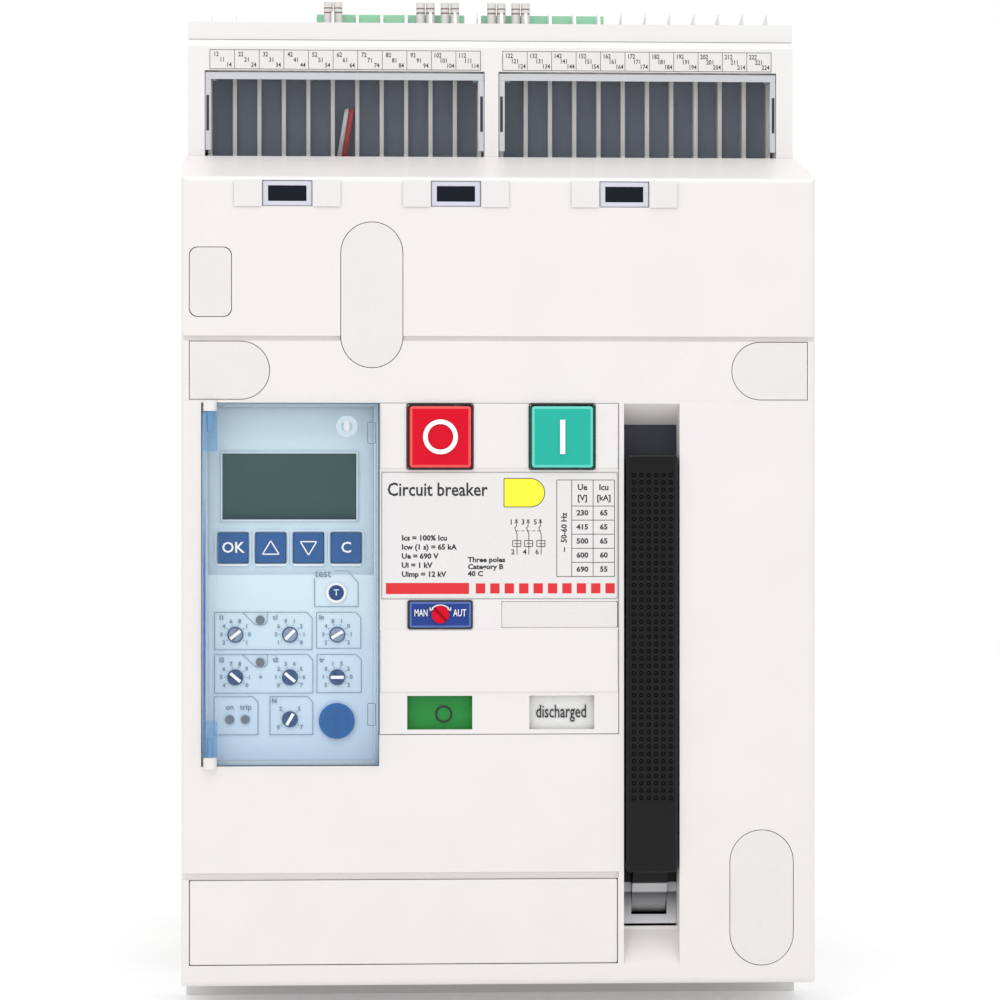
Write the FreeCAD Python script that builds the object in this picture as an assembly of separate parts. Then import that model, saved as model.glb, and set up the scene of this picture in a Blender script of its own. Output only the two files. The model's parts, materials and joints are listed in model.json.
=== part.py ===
"""Three-pole low-voltage air circuit breaker, fixed version, open with its closing spring discharged.

X runs along the width, Z up. Inside this script Y is the depth behind the front face of the cover, and each
piece is moved by FRONT_Y when it is written, so that the origin is the middle of the underside.
"""

import FreeCAD, Part
import math
import os

Vec = FreeCAD.Vector

# clearances
GAP = 0.3            # between separate pieces
RUN = 0.05           # radial, shaft in bearing
FREE = 0.8           # beside a piece that swings or slides through an opening

# cover
COVER_W = 263.0
COVER_BOTTOM = 11.3
COVER_TOP = 345.3    # top of the front face
COVER_DEPTH = 64.0
COVER_RISE = 14.3    # how much the sloping top gains towards the back
WALL = 3.0
EDGE_R = 2.5
GROOVE_DEPTH = 1.4
UPPER_GROOVE = (277.8, 279.8)
LOWER_GROOVE = (55.4, 58.0)
STRIP = (252.8, 277.8)
FLAP_Z = (20.2, 55.0)
FLAP_X0 = -128.0

# charging handle and its well
WELL_X = (51.6, 74.8)
WELL_Z = (19.0, 252.0)
WELL_WALL = 2.0
WELL_DEPTH = 14.0
WELL_FLOOR_RISE = 13.5
WELL_CEILING_DROP = 8.5
WELL_LIP = 2.0       # flat ledge at the top of the sloping floor
WELL_LIP_H = 1.5
HANDLE_Z = (57.6, 231.0)
HANDLE_PROUD = 3.0
HANDLE_BACK = 11.0
HANDLE_R = 3.0
HANDLE_END_R = 2.8
LINER_T = 1.6
LINER_BOTTOM = 66.0
PIVOT = (22.0, 48.0)
PIVOT_R = 5.0
HUB_R = 9.0
HANDLE_SWING = 75.0

# control panel
PANEL_X = (-49.6, 49.3)
PANEL_Z = (115.2, 252.0)
PANEL_T = 3.0
LAND = 0.5           # how far the raised lands stand off the panel
MIDDLE_LAND_Z = (132.5, 158.2)
UPPER_LAND_Z = (225.0, 251.6)
SKIRT = 9.0
BUTTON = 25.4
BUTTON_Z = 238.1
OFF_X = -24.6
ON_X = 26.0
BUTTON_PROUD = 1.5
BUTTON_BACK = 14.0
BUTTON_BODY = 6.0    # depth of the square body, to the front of the flange
CORNER_R = 1.2
FLANGE = 1.6
STEM = 8.0
SPRING_R = 4.6
SPRING_WIRE = 0.8
PLATE_X = (-49.0, 49.0)
PLATE_Z = (171.0, 223.6)
PLATE_T = 0.6
SELECTOR_Z = 164.6
SELECTOR_H = 10.6
SELECTOR_BACK = 10.0
SELECTOR_PROUD = 0.5
SLOT_W = 1.2
KNOB_R = 3.6
INDICATOR_Z = 124.0
INDICATOR_H = 14.0
INDICATOR_W = 27.0
FLAG_Y = 4.6
FLAG_T = 1.4
FLAG_TRAVEL = 16.5
FLAG_SIDE = 1.0
PANE_FRONT = 1.2
PANE_T = 1.0

# electronic protection unit and its hinged cover
UNIT_OPENING_X = (-123.3, -49.9)
UNIT_OPENING_Z = (102.0, 252.2)
UNIT_X = (-120.6, -52.0)
UNIT_Z = (104.0, 250.4)
UNIT_BACK = 58.0
UNIT_STEP_Z = 181.0
UPPER_FACE = 12.0
LOWER_FACE = 9.0
DISPLAY = (55.6, 27.4)
DISPLAY_AT = (-86.9, 217.6)
KEY = 12.4
KEY_PITCH = 15.65
KEY_AT = (-110.3, 192.1)
KEY_PROUD = 1.5
KEY_TRAVEL = 0.8
TEST_AT = (-67.5, 173.5)
TEST_R = 3.1
DIAL_R = 3.3
DIAL_PROUD = 1.0
DIAL_DEPTH = 4.0
DIAL_COLUMNS = (-109.3, -86.7, -67.1)
DIAL_ROWS = (156.1, 138.4, 121.0)
CAP_AT = (-67.3, 120.3)
CAP_R = 7.4
LED_R = 1.6
LEDS = ((-99.0, 162.2), (-99.0, 144.7), (-111.6, 121.0), (-105.2, 121.0))
LID_X = (-116.4, -50.7)
LID_Z = (102.6, 251.8)
LID_T = 1.8
LID_LIP = 4.0
LID_PIN = (-119.6, 0.0)
LID_ROLL_R = 2.8
LID_PIN_R = 1.2
LID_PIN_L = 8.0
HINGE_BLOCK = 3.4

# terminal housing
TERMINAL_W = 260.8
TERMINAL_DEPTH = 66.0
TERMINAL_Z = (342.0, 417.4)
POCKET_X = (3.0, 123.2)
POCKET_Z = (350.0, 396.4)
POCKET_DEPTH = 46.0
BEVEL_Z = (405.7, 409.4)
BEVEL = 2.2
BANK_X = 4.8
POSITIONS = 11
PITCH = 10.56
RIB_T = 1.7
RIB_FRONT = 10.0
CONTACT_FRONT = 16.0
FIN_SPAN = (5.7, 47.7)        # behind the housing's front, as are the next four
FIN_CREST = (9.7, 13.7)
STRIP_SPAN = (19.7, 39.7)
SCREW_DEEP = 13.7
FLAP_PIN_DEEP = 2.9
FIN_TOP = 423.0
FIN_T = 1.2
FLAP_PIN_Z = 393.2
FLAP_ROLL_R = 2.4
FLAP_PIN_R = 1.2
FLAP_PIN_L = 5.0
FLAP_BOTTOM = 360.6
FLAP_T = 2.0
FLAP_CORNER_R = 1.5
STRIP_X = (10.8, 75.0)
STRIP_X_RIGHT = (4.7, 50.0)
STRIP_TOP = 423.0
STRIP_BOTTOM = 413.0
SCREW_BOTTOM = 414.0
SCREW_SPREAD = 2.1
SCREW_TOP = 427.5
SCREW_R = 1.9
SCREW_POSITIONS = (-68.0, -28.0, -17.4, 2.8, 13.3)
WIRE_R = 1.0
WIRE_SPREAD = 2.0
WIRE_BEND_R = 2.8
WIRE_START = 6.0      # above the pocket's floor
WIRE_RISE = 22.0
WIRE_FRONT = 4.0      # in front of the contacts

# chassis and mechanism frame
BASE_T = 3.0
CHASSIS_LIP = 15.0
SIDE_T = 2.5
CHASSIS_W = 262.0
CHASSIS_STEP = 150.0
REAR_W = 236.4
CHASSIS_BACK = 298.0
CHASSIS_HEAD = 262.0
BOLT_PLAY = 0.2
FRAME_X = (-18.5, 86.0)
FRAME_T = 2.5
FRAME_Y = (14.0, 146.0)
FRAME_Z = (15.3, 252.0)
FRAME_FOOT_DEEP = 5.7         # foot of the plates behind the cover
FRAME_END = 1.5       # shaft ends beyond the side plates
STOP_T = 2.5
STOP_Z = 222.0
STOP_REACH = 14.0
BRACKET_REACH = 16.0
BACK_PLATE_Z = 200.0

# charging train
MODULE = 1.5
SECTOR_TEETH = 40
SECTOR_CUT = 13        # teeth that are really cut on the sector
PINION_TEETH = 20
MESH_ANGLE = 5.0
GEAR_X = (28.0, 36.0)
CAM_X = (41.0, 49.0)
CAMSHAFT_R = 6.0
CAM_BASE = 20.0
CAM_LIFT = 18.0
FOLLOWER_R = 6.0
PLUNGER_R = 4.0
COLLAR_R = 12.0
COLLAR_Z = (106.0, 109.0)
PLUNGER_TOP = 215.0
GUIDE_Z = (100.0, 103.0)
BRACKET_Z = (190.0, 193.0)
SPRING_R_MEAN = 9.0
CLOSING_WIRE = 1.8
CLOSING_TURNS = 9
COIL_W = 40.0
COIL_Z = (288.0, 336.0)
COIL_FRONT = 16.0
ARMATURE_Y = 40.0
ARMATURE_R = 5.0
ARMATURE_Z = 276.0
CAM_MARGIN = 12.0
CAM_POINTS = 120

# poles
POLE_PITCH = 75.0
SHAFT = (128.0, 150.0)
POLE_SHAFT_R = 9.0
CARRIER = (200.0, 120.0)
CRANK = 22.0
CRANK_ANGLE = 79.4
CRANK_PIN_R = 3.0
CRANK_T = 8.0
LINK_T = 4.0
LINK_R = 6.0
TRUNNION_R = 5.0
BOSS_R = 10.0
ARM_HALF = 6.0
STALK_TOP = 14.0      # above the link pin
FINGER_TIP = (-20.0, -10.0, -4.0)
FINGER_ROOT = (-12.0, 4.0)
FINGER_OVER = 12.0
FINGERS = 6
FINGER_SLIT = 1.2
FIXED_START = 38.6    # fixed contact behind the trunnion
FIXED_TIP = (42.0, 12.0, 14.0)
BRAID_W = 36.0
BRAID_REACH = (10.3, 13.0, 34.0)
BRAID_Z = (94.2, 97.0, 106.0)
CARRIER_W = 44.0
CARRIER_TIP = 214.0
HOUSING_W = 230.8
HOUSING_Y = (153.0, 297.5)
HOUSING_Z = (6.0, 340.0)
CHAMBER_W = 70.0
CHAMBER_WALL = 5.0
CHAMBER_BACK = 4.0
CHAMBER_FLOOR = 10.0
DOOR_W = 24.0         # opening for the crank of each pole
DOOR = (22.0, 36.0)   # below and above the pole shaft
BAR_W = 50.0
BAR_T = 10.0
UPPER_BAR_Z = 216.0
LOWER_BAR_Z = 84.0
BAR_END = 351.0
BOLT_SPAN = 25.0
BOLT_INSET = 16.0
TERMINAL_HOLE_R = 5.5
CHUTE_Z = (245.0, 338.0)
CHUTE_Y = (190.0, 290.0)
CHUTE_WALL = 4.0
CHUTE_SLOTS = 9
CHUTE_PITCH = 10.2
CHUTE_SLOT = 6.5
CHUTE_ROOF = 8.0
VENT_INSET = 12.0
VENT = 3.5
TRANSFORMER_W = 66.0
TRANSFORMER_Y = (255.0, 285.0)
TRANSFORMER_WALL = 22.0

# feet
FOOT_W = 18.0
FOOT_Y = (180.0, 290.0)
FOOT_T = 4.0
FOOT_H = 44.0
FOOT_HOLE_R = 4.5
FOOT_HOLES_Y = (200.0, 270.0)
SIDE_BOLT_R = 4.0
BOLT_HEAD_R = 7.5
BOLT_HEAD_T = 5.0
SIDE_BOLT_Z = 28.0

# places worked out from the sizes above
FRONT_Y = -(BAR_END - HANDLE_PROUD) / 2
HALF_W = COVER_W / 2
TERMINAL_FRONT = COVER_DEPTH + GAP
FLAP_PIN = (TERMINAL_FRONT + FLAP_PIN_DEEP, FLAP_PIN_Z)
SCREW_Y = TERMINAL_FRONT + SCREW_DEEP
GEAR_DISTANCE = MODULE * (SECTOR_TEETH + PINION_TEETH) / 2
MESH = math.radians(MESH_ANGLE)
CAMSHAFT = (PIVOT[0] + GEAR_DISTANCE * math.cos(MESH), PIVOT[1] + GEAR_DISTANCE * math.sin(MESH))
CAM_SWING = HANDLE_SWING * SECTOR_TEETH / PINION_TEETH
CAM_MIDDLE = sum(CAM_X) / 2
POLES = (-POLE_PITCH, 0.0, POLE_PITCH)
CRANK_RAD = math.radians(CRANK_ANGLE)
CRANK_OFFSET = (CRANK * math.cos(CRANK_RAD), CRANK * math.sin(CRANK_RAD))
SHAFT_PIN = (SHAFT[0] + CRANK_OFFSET[0], SHAFT[1] + CRANK_OFFSET[1])
CARRIER_PIN = (CARRIER[0] + CRANK_OFFSET[0], CARRIER[1] + CRANK_OFFSET[1])
FOOT_FACE = REAR_W / 2 + 0.1
HALF_FOOT = FOOT_FACE + FOOT_W
FOOT_HOLE_X = FOOT_FACE + FOOT_T + (FOOT_W - FOOT_T) / 2
CHAMBER_Y = (HOUSING_Y[0] + CHAMBER_WALL, HOUSING_Y[1] - CHAMBER_BACK)
HOLE_Y = BAR_END - BOLT_INSET


# ---------------------------------------------------------------- shapes
def box(x, y, z):
    """Block between pairs of limits."""
    return Part.makeBox(x[1] - x[0], y[1] - y[0], z[1] - z[0], Vec(x[0], y[0], z[0]))


def block(cx, cz, w, h, y):
    """Block centred on a point of the front, between two depths."""
    return box((cx - w / 2, cx + w / 2), y, (cz - h / 2, cz + h / 2))


def rod_x(x, at, r):
    return Part.makeCylinder(r, x[1] - x[0], Vec(x[0], at[0], at[1]), Vec(1, 0, 0))


def rod_y(at, y, r):
    return Part.makeCylinder(r, y[1] - y[0], Vec(at[0], y[0], at[1]), Vec(0, 1, 0))


def rod_z(at, z, r):
    return Part.makeCylinder(r, z[1] - z[0], Vec(at[0], at[1], z[0]), Vec(0, 0, 1))


def plate_x(points, x):
    """Plate square to X, from a closed outline of (depth, height) points."""
    corners = [Vec(x[0], p[0], p[1]) for p in points]
    face = Part.Face(Part.makePolygon(corners + corners[:1]))
    return face.extrude(Vec(x[1] - x[0], 0, 0))


def oval(x, y, z, ends="both"):
    """Block whose short ends are round, seen from the front; ends says which of them."""
    wide = x[1] - x[0] > z[1] - z[0]
    r = min(x[1] - x[0], z[1] - z[0]) / 2
    low, high = (x, z) if wide else (z, x)
    start = low[0] + (0 if ends == "high" else r)
    stop = low[1] - (0 if ends == "low" else r)
    middle = (high[0] + high[1]) / 2
    body = box((start, stop), y, z) if wide else box(x, y, (start, stop))
    for at, side in ((start, "low"), (stop, "high")):
        if ends in ("both", side):
            body = body.fuse(rod_y((at, middle) if wide else (middle, at), y, r))
    return body.removeSplitter()


def along(shape, direction):
    """Edges parallel to a direction."""
    found = []
    for edge in shape.Edges:
        if len(edge.Vertexes) == 2:
            run = edge.Vertexes[1].Point.sub(edge.Vertexes[0].Point)
            if run.Length > 0 and abs(run.normalize().dot(direction)) > 0.999:
                found.append(edge)
    return found


def rounded(x, y, z, r):
    """Block with its four edges along Y rounded."""
    body = box(x, y, z)
    return body.makeFillet(r, along(body, Vec(0, 1, 0)))


def soften_front(shape, y, r):
    """Rounds every edge that lies in the plane at depth y."""
    edges = [e for e in shape.Edges if all(abs(v.Point.y - y) < 1e-6 for v in e.Vertexes)]
    edges = [e for e in edges if abs(e.CenterOfMass.y - y) < 1e-6]
    return shape.makeFillet(r, edges)


def fuse(*shapes):
    body = shapes[0]
    for other in shapes[1:]:
        body = body.fuse(other)
    return body.removeSplitter()


def cut(body, *tools):
    for tool in tools:
        body = body.cut(tool)
    return body


def group(shapes):
    return Part.makeCompound(list(shapes))


def mirrored(shape):
    return shape.mirror(Vec(0, 0, 0), Vec(1, 0, 0))


def coil(at, start, length, radius, wire, turns, direction):
    """Round-wire compression spring along a direction, its ends cut square by its own length."""
    helix = Part.makeHelix(length / turns, length, radius)
    section = Part.Wire(Part.makeCircle(wire, Vec(radius, 0, 0), Vec(0, 1, 0)))
    spring = Part.Wire(helix).makePipeShell([section], True, True)
    if direction == "y":
        spring.rotate(Vec(0, 0, 0), Vec(1, 0, 0), -90)
        spring.translate(Vec(at[0], start, at[1]))
    else:
        spring.translate(Vec(at[0], at[1], start))
    return spring


def tooth_flank(teeth, rounds):
    """(radius, half angle) down one involute flank, tip first."""
    pitch_r = MODULE * teeth / 2
    base_r = pitch_r * math.cos(math.radians(20))
    root_r = pitch_r - 1.25 * MODULE
    tip_r = pitch_r + 0.95 * MODULE
    involute = lambda a: math.tan(a) - a
    half = math.pi / (2 * teeth) - 0.1 / pitch_r + involute(math.radians(20))
    low = max(base_r, root_r)
    flank = []
    for step in range(rounds + 1):
        r = tip_r + (low - tip_r) * step / rounds
        flank.append((r, half - involute(math.acos(min(1.0, base_r / r)))))
    return flank + [(root_r, flank[-1][1])]


def gear_outline(centre, teeth, first_angle, count):
    """Outline points of count teeth, the first centred on first_angle."""
    flank = tooth_flank(teeth, 4)
    points = []
    for tooth in range(count):
        middle = first_angle + 2 * math.pi * tooth / teeth
        side = [(r, middle - a) for r, a in reversed(flank)] + [(r, middle + a) for r, a in flank]
        points += [(centre[0] + r * math.cos(a), centre[1] + r * math.sin(a)) for r, a in side]
    return points


def save(name, shape):
    if not shape.isValid() or not shape.Solids:
        raise ValueError(name + " is not a sound solid")
    moved = shape.copy()
    moved.translate(Vec(0, FRONT_Y, 0))
    moved.exportStep(os.path.join("parts", name + ".step"))


# ---------------------------------------------------------------- cover
def window_places():
    """Centres of the three small accessory windows."""
    return [(x, 338.7) for x in (-87.8, -18.1, 51.8)]


def plugs(clear=0.0):
    """The blank plugs, grown by a clearance when they are used to cut their seats."""
    y = (-1.0, WALL + 1.0) if clear else (0.0, WALL)
    inner = HALF_W - WALL - 0.5
    grow = lambda a, b: (a - clear, b + clear)
    corner = rounded(grow(-inner, -110.9), y, grow(287.8, 316.2), 3.5)
    left = oval(grow(-inner, -95.2), y, grow(STRIP[0] + 0.9, STRIP[1] - 0.4), "high")
    right = oval(grow(96.7, inner), y, grow(STRIP[0] + 0.9, STRIP[1] - 0.4), "low")
    tall = oval(grow(-65.6, -40.2), y, grow(266.8, 326.8))
    low = oval(grow(95.9, 122.1), y, grow(18.9, 74.8))
    return [corner, left, right, tall, low]


def well_floor():
    """Ramp at the foot of the well, with a ledge along its top."""
    z = WELL_Z[0]
    top = z + WELL_FLOOR_RISE
    edge = WELL_DEPTH - WELL_LIP
    ramp = [(0, z - WELL_WALL), (0, z), (edge, top), (edge, top + WELL_LIP_H)]
    back = [(WELL_DEPTH, top + WELL_LIP_H), (WELL_DEPTH, z - WELL_WALL)]
    return plate_x(ramp + back, WELL_X)


def well_ceiling():
    z = WELL_Z[1]
    outline = [(0, z), (0, z + WELL_WALL), (WELL_DEPTH, z + WELL_WALL), (WELL_DEPTH, z - WELL_CEILING_DROP)]
    return plate_x(outline, WELL_X)


def hinge_blocks():
    """Two ears on the cover that hold the pins of the transparent lid."""
    x = (LID_PIN[0] - LID_ROLL_R, LID_PIN[0] + LID_ROLL_R)
    low_z = (UNIT_OPENING_Z[0] - 1.0, LID_Z[0] + HINGE_BLOCK - GAP)
    high_z = (LID_Z[1] - HINGE_BLOCK + GAP, UNIT_OPENING_Z[1] + 1.0)
    return [box(x, (0, WALL), z).fuse(rod_z(LID_PIN, z, LID_ROLL_R)) for z in (low_z, high_z)]


def lid_pins(r):
    blind = HINGE_BLOCK - 1.0
    low_z = LID_Z[0] + HINGE_BLOCK
    high_z = LID_Z[1] - HINGE_BLOCK
    low = rod_z(LID_PIN, (low_z - blind, low_z + LID_PIN_L), r)
    high = rod_z(LID_PIN, (high_z - LID_PIN_L, high_z + blind), r)
    return [low, high]


def front_cover():
    top = COVER_TOP
    outer = plate_x(
        [(0, COVER_BOTTOM), (0, top), (COVER_DEPTH, top + COVER_RISE), (COVER_DEPTH, COVER_BOTTOM)],
        (-HALF_W, HALF_W),
    )
    edges = [e for e in outer.Edges if all(abs(v.Point.y) < 1e-6 for v in e.Vertexes)]
    outer = outer.makeFillet(EDGE_R, edges)
    slope = COVER_RISE / COVER_DEPTH
    inner = plate_x(
        [
            (WALL, COVER_BOTTOM + WALL),
            (WALL, top - WALL),
            (COVER_DEPTH + 1, top - WALL + slope * COVER_DEPTH),
            (COVER_DEPTH + 1, COVER_BOTTOM + WALL),
        ],
        (-HALF_W + WALL, HALF_W - WALL),
    )
    body = outer.cut(inner)
    rim_x = (WELL_X[0] - WELL_WALL, WELL_X[1] + WELL_WALL)
    rim_z = (WELL_Z[0] - WELL_WALL, WELL_Z[1] + WELL_WALL)
    rim = box(rim_x, (WALL - 1, WELL_DEPTH), rim_z)
    body = fuse(body, rim)
    through = (-1.0, WALL + 1.0)
    body = cut(
        body,
        box(WELL_X, (-1, WELL_DEPTH + 1), WELL_Z),
        box(UNIT_OPENING_X, through, UNIT_OPENING_Z),
        box((UNIT_OPENING_X[1] - 1, PANEL_X[1] + GAP), through, (PANEL_Z[0] - GAP, UNIT_OPENING_Z[1])),
        box((FLAP_X0 - GAP, PANEL_X[1] - 0.2), through, (FLAP_Z[0] - GAP, FLAP_Z[1] + GAP)),
    )
    for z in (UPPER_GROOVE, LOWER_GROOVE):
        body = body.cut(box((-HALF_W - 1, WELL_X[0] - WELL_WALL - 0.1), (-1, GROOVE_DEPTH), z))
    body = body.cut(box((WELL_X[0] - 3, HALF_W + 1), (-1, GROOVE_DEPTH), UPPER_GROOVE))
    body = cut(body, *plugs(GAP))
    for x, z in window_places():
        body = body.cut(block(x, z, 20.6, 10.8, through))
    body = fuse(body, well_floor(), well_ceiling(), *hinge_blocks())
    return cut(body, *lid_pins(LID_PIN_R + 0.03))


def lower_flap():
    z = FLAP_Z
    x = (FLAP_X0, PANEL_X[1] - 0.5)
    body = rounded(x, (0, WALL), z, 0.8)
    return soften_front(body, 0, 0.5)


def window_frames():
    frames = []
    for x, z in window_places():
        frame = block(x, z, 20.2, 10.4, (0.4, WALL + 1)).cut(block(x, z, 15.8, 6.4, (-1, WALL + 2)))
        frames.append(soften_front(frame, 0.4, 0.4))
    return group(frames)


# ---------------------------------------------------------------- control panel
def indicator_places():
    return [(OFF_X - 0.2, INDICATOR_Z), (ON_X - 0.2, INDICATOR_Z)]


def blank_x():
    return (0.9, PANEL_X[1] - 0.3)


def panel_land(z):
    """Slightly raised field of the control panel."""
    land = box((PANEL_X[0] + GAP, PANEL_X[1] - GAP), (-LAND, 0.5), z)
    return soften_front(land, -LAND, LAND - 0.1)


def control_panel():
    body = box(PANEL_X, (0, PANEL_T), PANEL_Z)
    left = box((PANEL_X[0], PANEL_X[0] + 1.6), (0, SKIRT), PANEL_Z)
    right = box((PANEL_X[1] - 1.6, PANEL_X[1]), (0, SKIRT), (PANEL_Z[0], PANEL_Z[1] - 30))
    body = fuse(body, left, right, panel_land(MIDDLE_LAND_Z), panel_land(UPPER_LAND_Z))
    through = (-1, PANEL_T + 1)
    hole = BUTTON / 2 + FREE
    for x in (OFF_X, ON_X):
        button = rounded((x - hole, x + hole), through, (BUTTON_Z - hole, BUTTON_Z + hole), 1.5)
        body = body.cut(button)
    body = body.cut(block(OFF_X, SELECTOR_Z, BUTTON + 2 * GAP, SELECTOR_H + 2 * GAP, through))
    blank = blank_x()
    blank_w = blank[1] - blank[0] + GAP
    body = body.cut(block(sum(blank) / 2, SELECTOR_Z, blank_w, SELECTOR_H + GAP, (-1, SKIRT + 1)))
    for x, z in indicator_places():
        body = body.cut(block(x, z, INDICATOR_W, INDICATOR_H, through))
    seat_x = (PLATE_X[0] - 0.1, PLATE_X[1] + 0.1)
    seat_z = (PLATE_Z[0] - 0.1, PLATE_Z[1] + 0.1)
    return body.cut(box(seat_x, (-1, PLATE_T + 0.2), seat_z))


def rating_plate():
    return rounded(PLATE_X, (0.2, 0.2 + PLATE_T), PLATE_Z, 0.6)


def push_button(x):
    half = BUTTON / 2
    face_x = (x - half, x + half)
    face_z = (BUTTON_Z - half, BUTTON_Z + half)
    front = rounded(face_x, (-BUTTON_PROUD, BUTTON_BODY), face_z, CORNER_R)
    front = soften_front(front, -BUTTON_PROUD, 0.8)
    low = PANEL_T + 0.4
    flange_x = (face_x[0] - FLANGE, face_x[1] + FLANGE)
    flange = box(flange_x, (low, low + 2), (face_z[0] - FLANGE, face_z[1]))
    return fuse(front, flange, rod_y((x, BUTTON_Z), (low, BUTTON_BACK), STEM / 2))


def button_springs():
    springs = []
    for x in (OFF_X, ON_X):
        start = BUTTON_BACK + 0.1 + SPRING_WIRE
        length = FRAME_Y[0] + BUTTON_BACK - start - 0.1 - SPRING_WIRE
        springs.append(coil((x, BUTTON_Z), start, length, SPRING_R - SPRING_WIRE, SPRING_WIRE, 5, "y"))
    return group(springs)


def selector_block():
    body = block(OFF_X, SELECTOR_Z, BUTTON, SELECTOR_H, (-SELECTOR_PROUD, SELECTOR_BACK))
    body = body.makeFillet(0.6, along(body, Vec(0, 1, 0)))
    return body.cut(rod_y((OFF_X, SELECTOR_Z), (-2, SELECTOR_BACK - 1.5), KNOB_R + RUN))


def selector_knob():
    body = rod_y((OFF_X, SELECTOR_Z), (-SELECTOR_PROUD - 1, SELECTOR_BACK - 2), KNOB_R)
    slot = block(OFF_X, SELECTOR_Z, SLOT_W, 2 * KNOB_R + 1, (-2, 0.3))
    slot.rotate(Vec(OFF_X, 0, SELECTOR_Z), Vec(0, 1, 0), -45)
    return body.cut(slot)


def accessory_blank():
    x = blank_x()
    z = (SELECTOR_Z - SELECTOR_H / 2, SELECTOR_Z + SELECTOR_H / 2)
    return rounded((x[0], x[1] - 0.2), (0.2, 5), z, 0.6)


def indicator_flag(x):
    low = INDICATOR_Z - INDICATOR_H / 2 - 1.5
    half = INDICATOR_W / 2 + FLAG_SIDE
    return box((x - half, x + half), (FLAG_Y, FLAG_Y + FLAG_T), (low, low + 2 * FLAG_TRAVEL))


def window_panes():
    panes = [block(x, z, 15.6, 6.2, (1.6, 3.2)) for x, z in window_places()]
    y = (PANE_FRONT, PANE_FRONT + PANE_T)
    panes += [block(x, z, INDICATOR_W - 0.2, INDICATOR_H - 0.2, y) for x, z in indicator_places()]
    return group(panes)


# ---------------------------------------------------------------- charging handle
def charging_handle():
    x = (WELL_X[0] + FREE, WELL_X[1] - FREE)
    body = box(x, (-HANDLE_PROUD, HANDLE_BACK), HANDLE_Z)
    sides = [e for e in along(body, Vec(0, 0, 1)) if e.CenterOfMass.y < 0]
    body = body.makeFillet(HANDLE_R, sides)
    front = [e for e in body.Edges if abs(e.CenterOfMass.y + HANDLE_PROUD) < 0.9]
    return body.makeFillet(HANDLE_END_R, [e for e in front if e.BoundBox.ZLength < 0.1])


def handle_shaft():
    """Shaft with the hub and the welded arm that carries the grip."""
    x = (WELL_X[0] + 4.4, WELL_X[1] - 4.4)
    low = HANDLE_Z[0] - 0.1
    hub = rod_x(x, PIVOT, HUB_R)
    front = [(PIVOT[0] - 7.5, PIVOT[1] - 4.9), (5, low), (HANDLE_BACK, low)]
    arm = plate_x(front + [(PIVOT[0] + 0.3, PIVOT[1] + HUB_R - 0.01), PIVOT], x)
    shaft = rod_x(shaft_span(), PIVOT, PIVOT_R)
    return cut(fuse(hub, arm, shaft), gear_seat(PIVOT, PIVOT_R))


def shaft_span():
    """Shafts of the mechanism end a little outside its two side plates."""
    return (FRAME_X[0] - FRAME_END, FRAME_X[1] + FRAME_T + FRAME_END)


def gear_seat(at, r):
    """Flat on a shaft that keys a gear to it."""
    return box(GEAR_X, (at[0] + r - 1, at[0] + r + 1), (at[1] - r, at[1] + r))


def drive_gear():
    """Toothed sector keyed to the handle shaft."""
    step = 2 * math.pi / SECTOR_TEETH
    first = MESH - math.radians(HANDLE_SWING) - 2 * step
    start = MESH - step * round((MESH - first) / step)
    points = gear_outline(PIVOT, SECTOR_TEETH, start, SECTOR_CUT)
    points.append((PIVOT[0], PIVOT[1] + HUB_R))
    points.append((PIVOT[0] - HUB_R, PIVOT[1]))
    body = plate_x(points, GEAR_X).fuse(rod_x(GEAR_X, PIVOT, HUB_R + 1))
    wide = (GEAR_X[0] - 1, GEAR_X[1] + 1)
    key = box(wide, (PIVOT[0] + PIVOT_R - 1, PIVOT[0] + PIVOT_R), (PIVOT[1] - PIVOT_R, PIVOT[1] + PIVOT_R))
    return body.cut(rod_x(wide, PIVOT, PIVOT_R).cut(key)).removeSplitter()


def handle_liner():
    y = (WELL_DEPTH + GAP, WELL_DEPTH + GAP + LINER_T)
    return box((WELL_X[0] - LINER_T, WELL_X[1] + LINER_T), y, (LINER_BOTTOM, WELL_Z[1]))


# ---------------------------------------------------------------- protection unit
def key_places():
    return [(KEY_AT[0] + i * KEY_PITCH, KEY_AT[1]) for i in range(4)]


def dial_places():
    upper = [(x, z) for z in DIAL_ROWS[:2] for x in DIAL_COLUMNS]
    return upper + [(DIAL_COLUMNS[1], DIAL_ROWS[2])]


def protection_unit():
    upper = box(UNIT_X, (UPPER_FACE, UNIT_BACK), (UNIT_STEP_Z, UNIT_Z[1]))
    lower = box(UNIT_X, (LOWER_FACE, UNIT_BACK), (UNIT_Z[0], UNIT_STEP_Z))
    body = fuse(upper, lower)
    body = body.cut(block(*DISPLAY_AT, DISPLAY[0] + 0.4, DISPLAY[1] + 0.4, (0, UPPER_FACE + 2)))
    for at in key_places():
        body = body.cut(block(*at, KEY + 2 * GAP, KEY + 2 * GAP, (0, UPPER_FACE + 4 + KEY_TRAVEL)))
    body = body.cut(rod_y(TEST_AT, (0, LOWER_FACE + 4 + KEY_TRAVEL), TEST_R + RUN))
    for at in dial_places():
        body = body.cut(rod_y(at, (0, LOWER_FACE + DIAL_DEPTH - DIAL_PROUD + 0.2), DIAL_R + RUN))
    for at in LEDS:
        body = body.cut(rod_y(at, (0, LOWER_FACE + 2), LED_R + RUN))
    return body.cut(rod_y(CAP_AT, (0, LOWER_FACE + 5), CAP_R - 2.4 + RUN))


def unit_display():
    return block(*DISPLAY_AT, *DISPLAY, (UPPER_FACE - 0.2, UPPER_FACE + 1.8))


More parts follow.
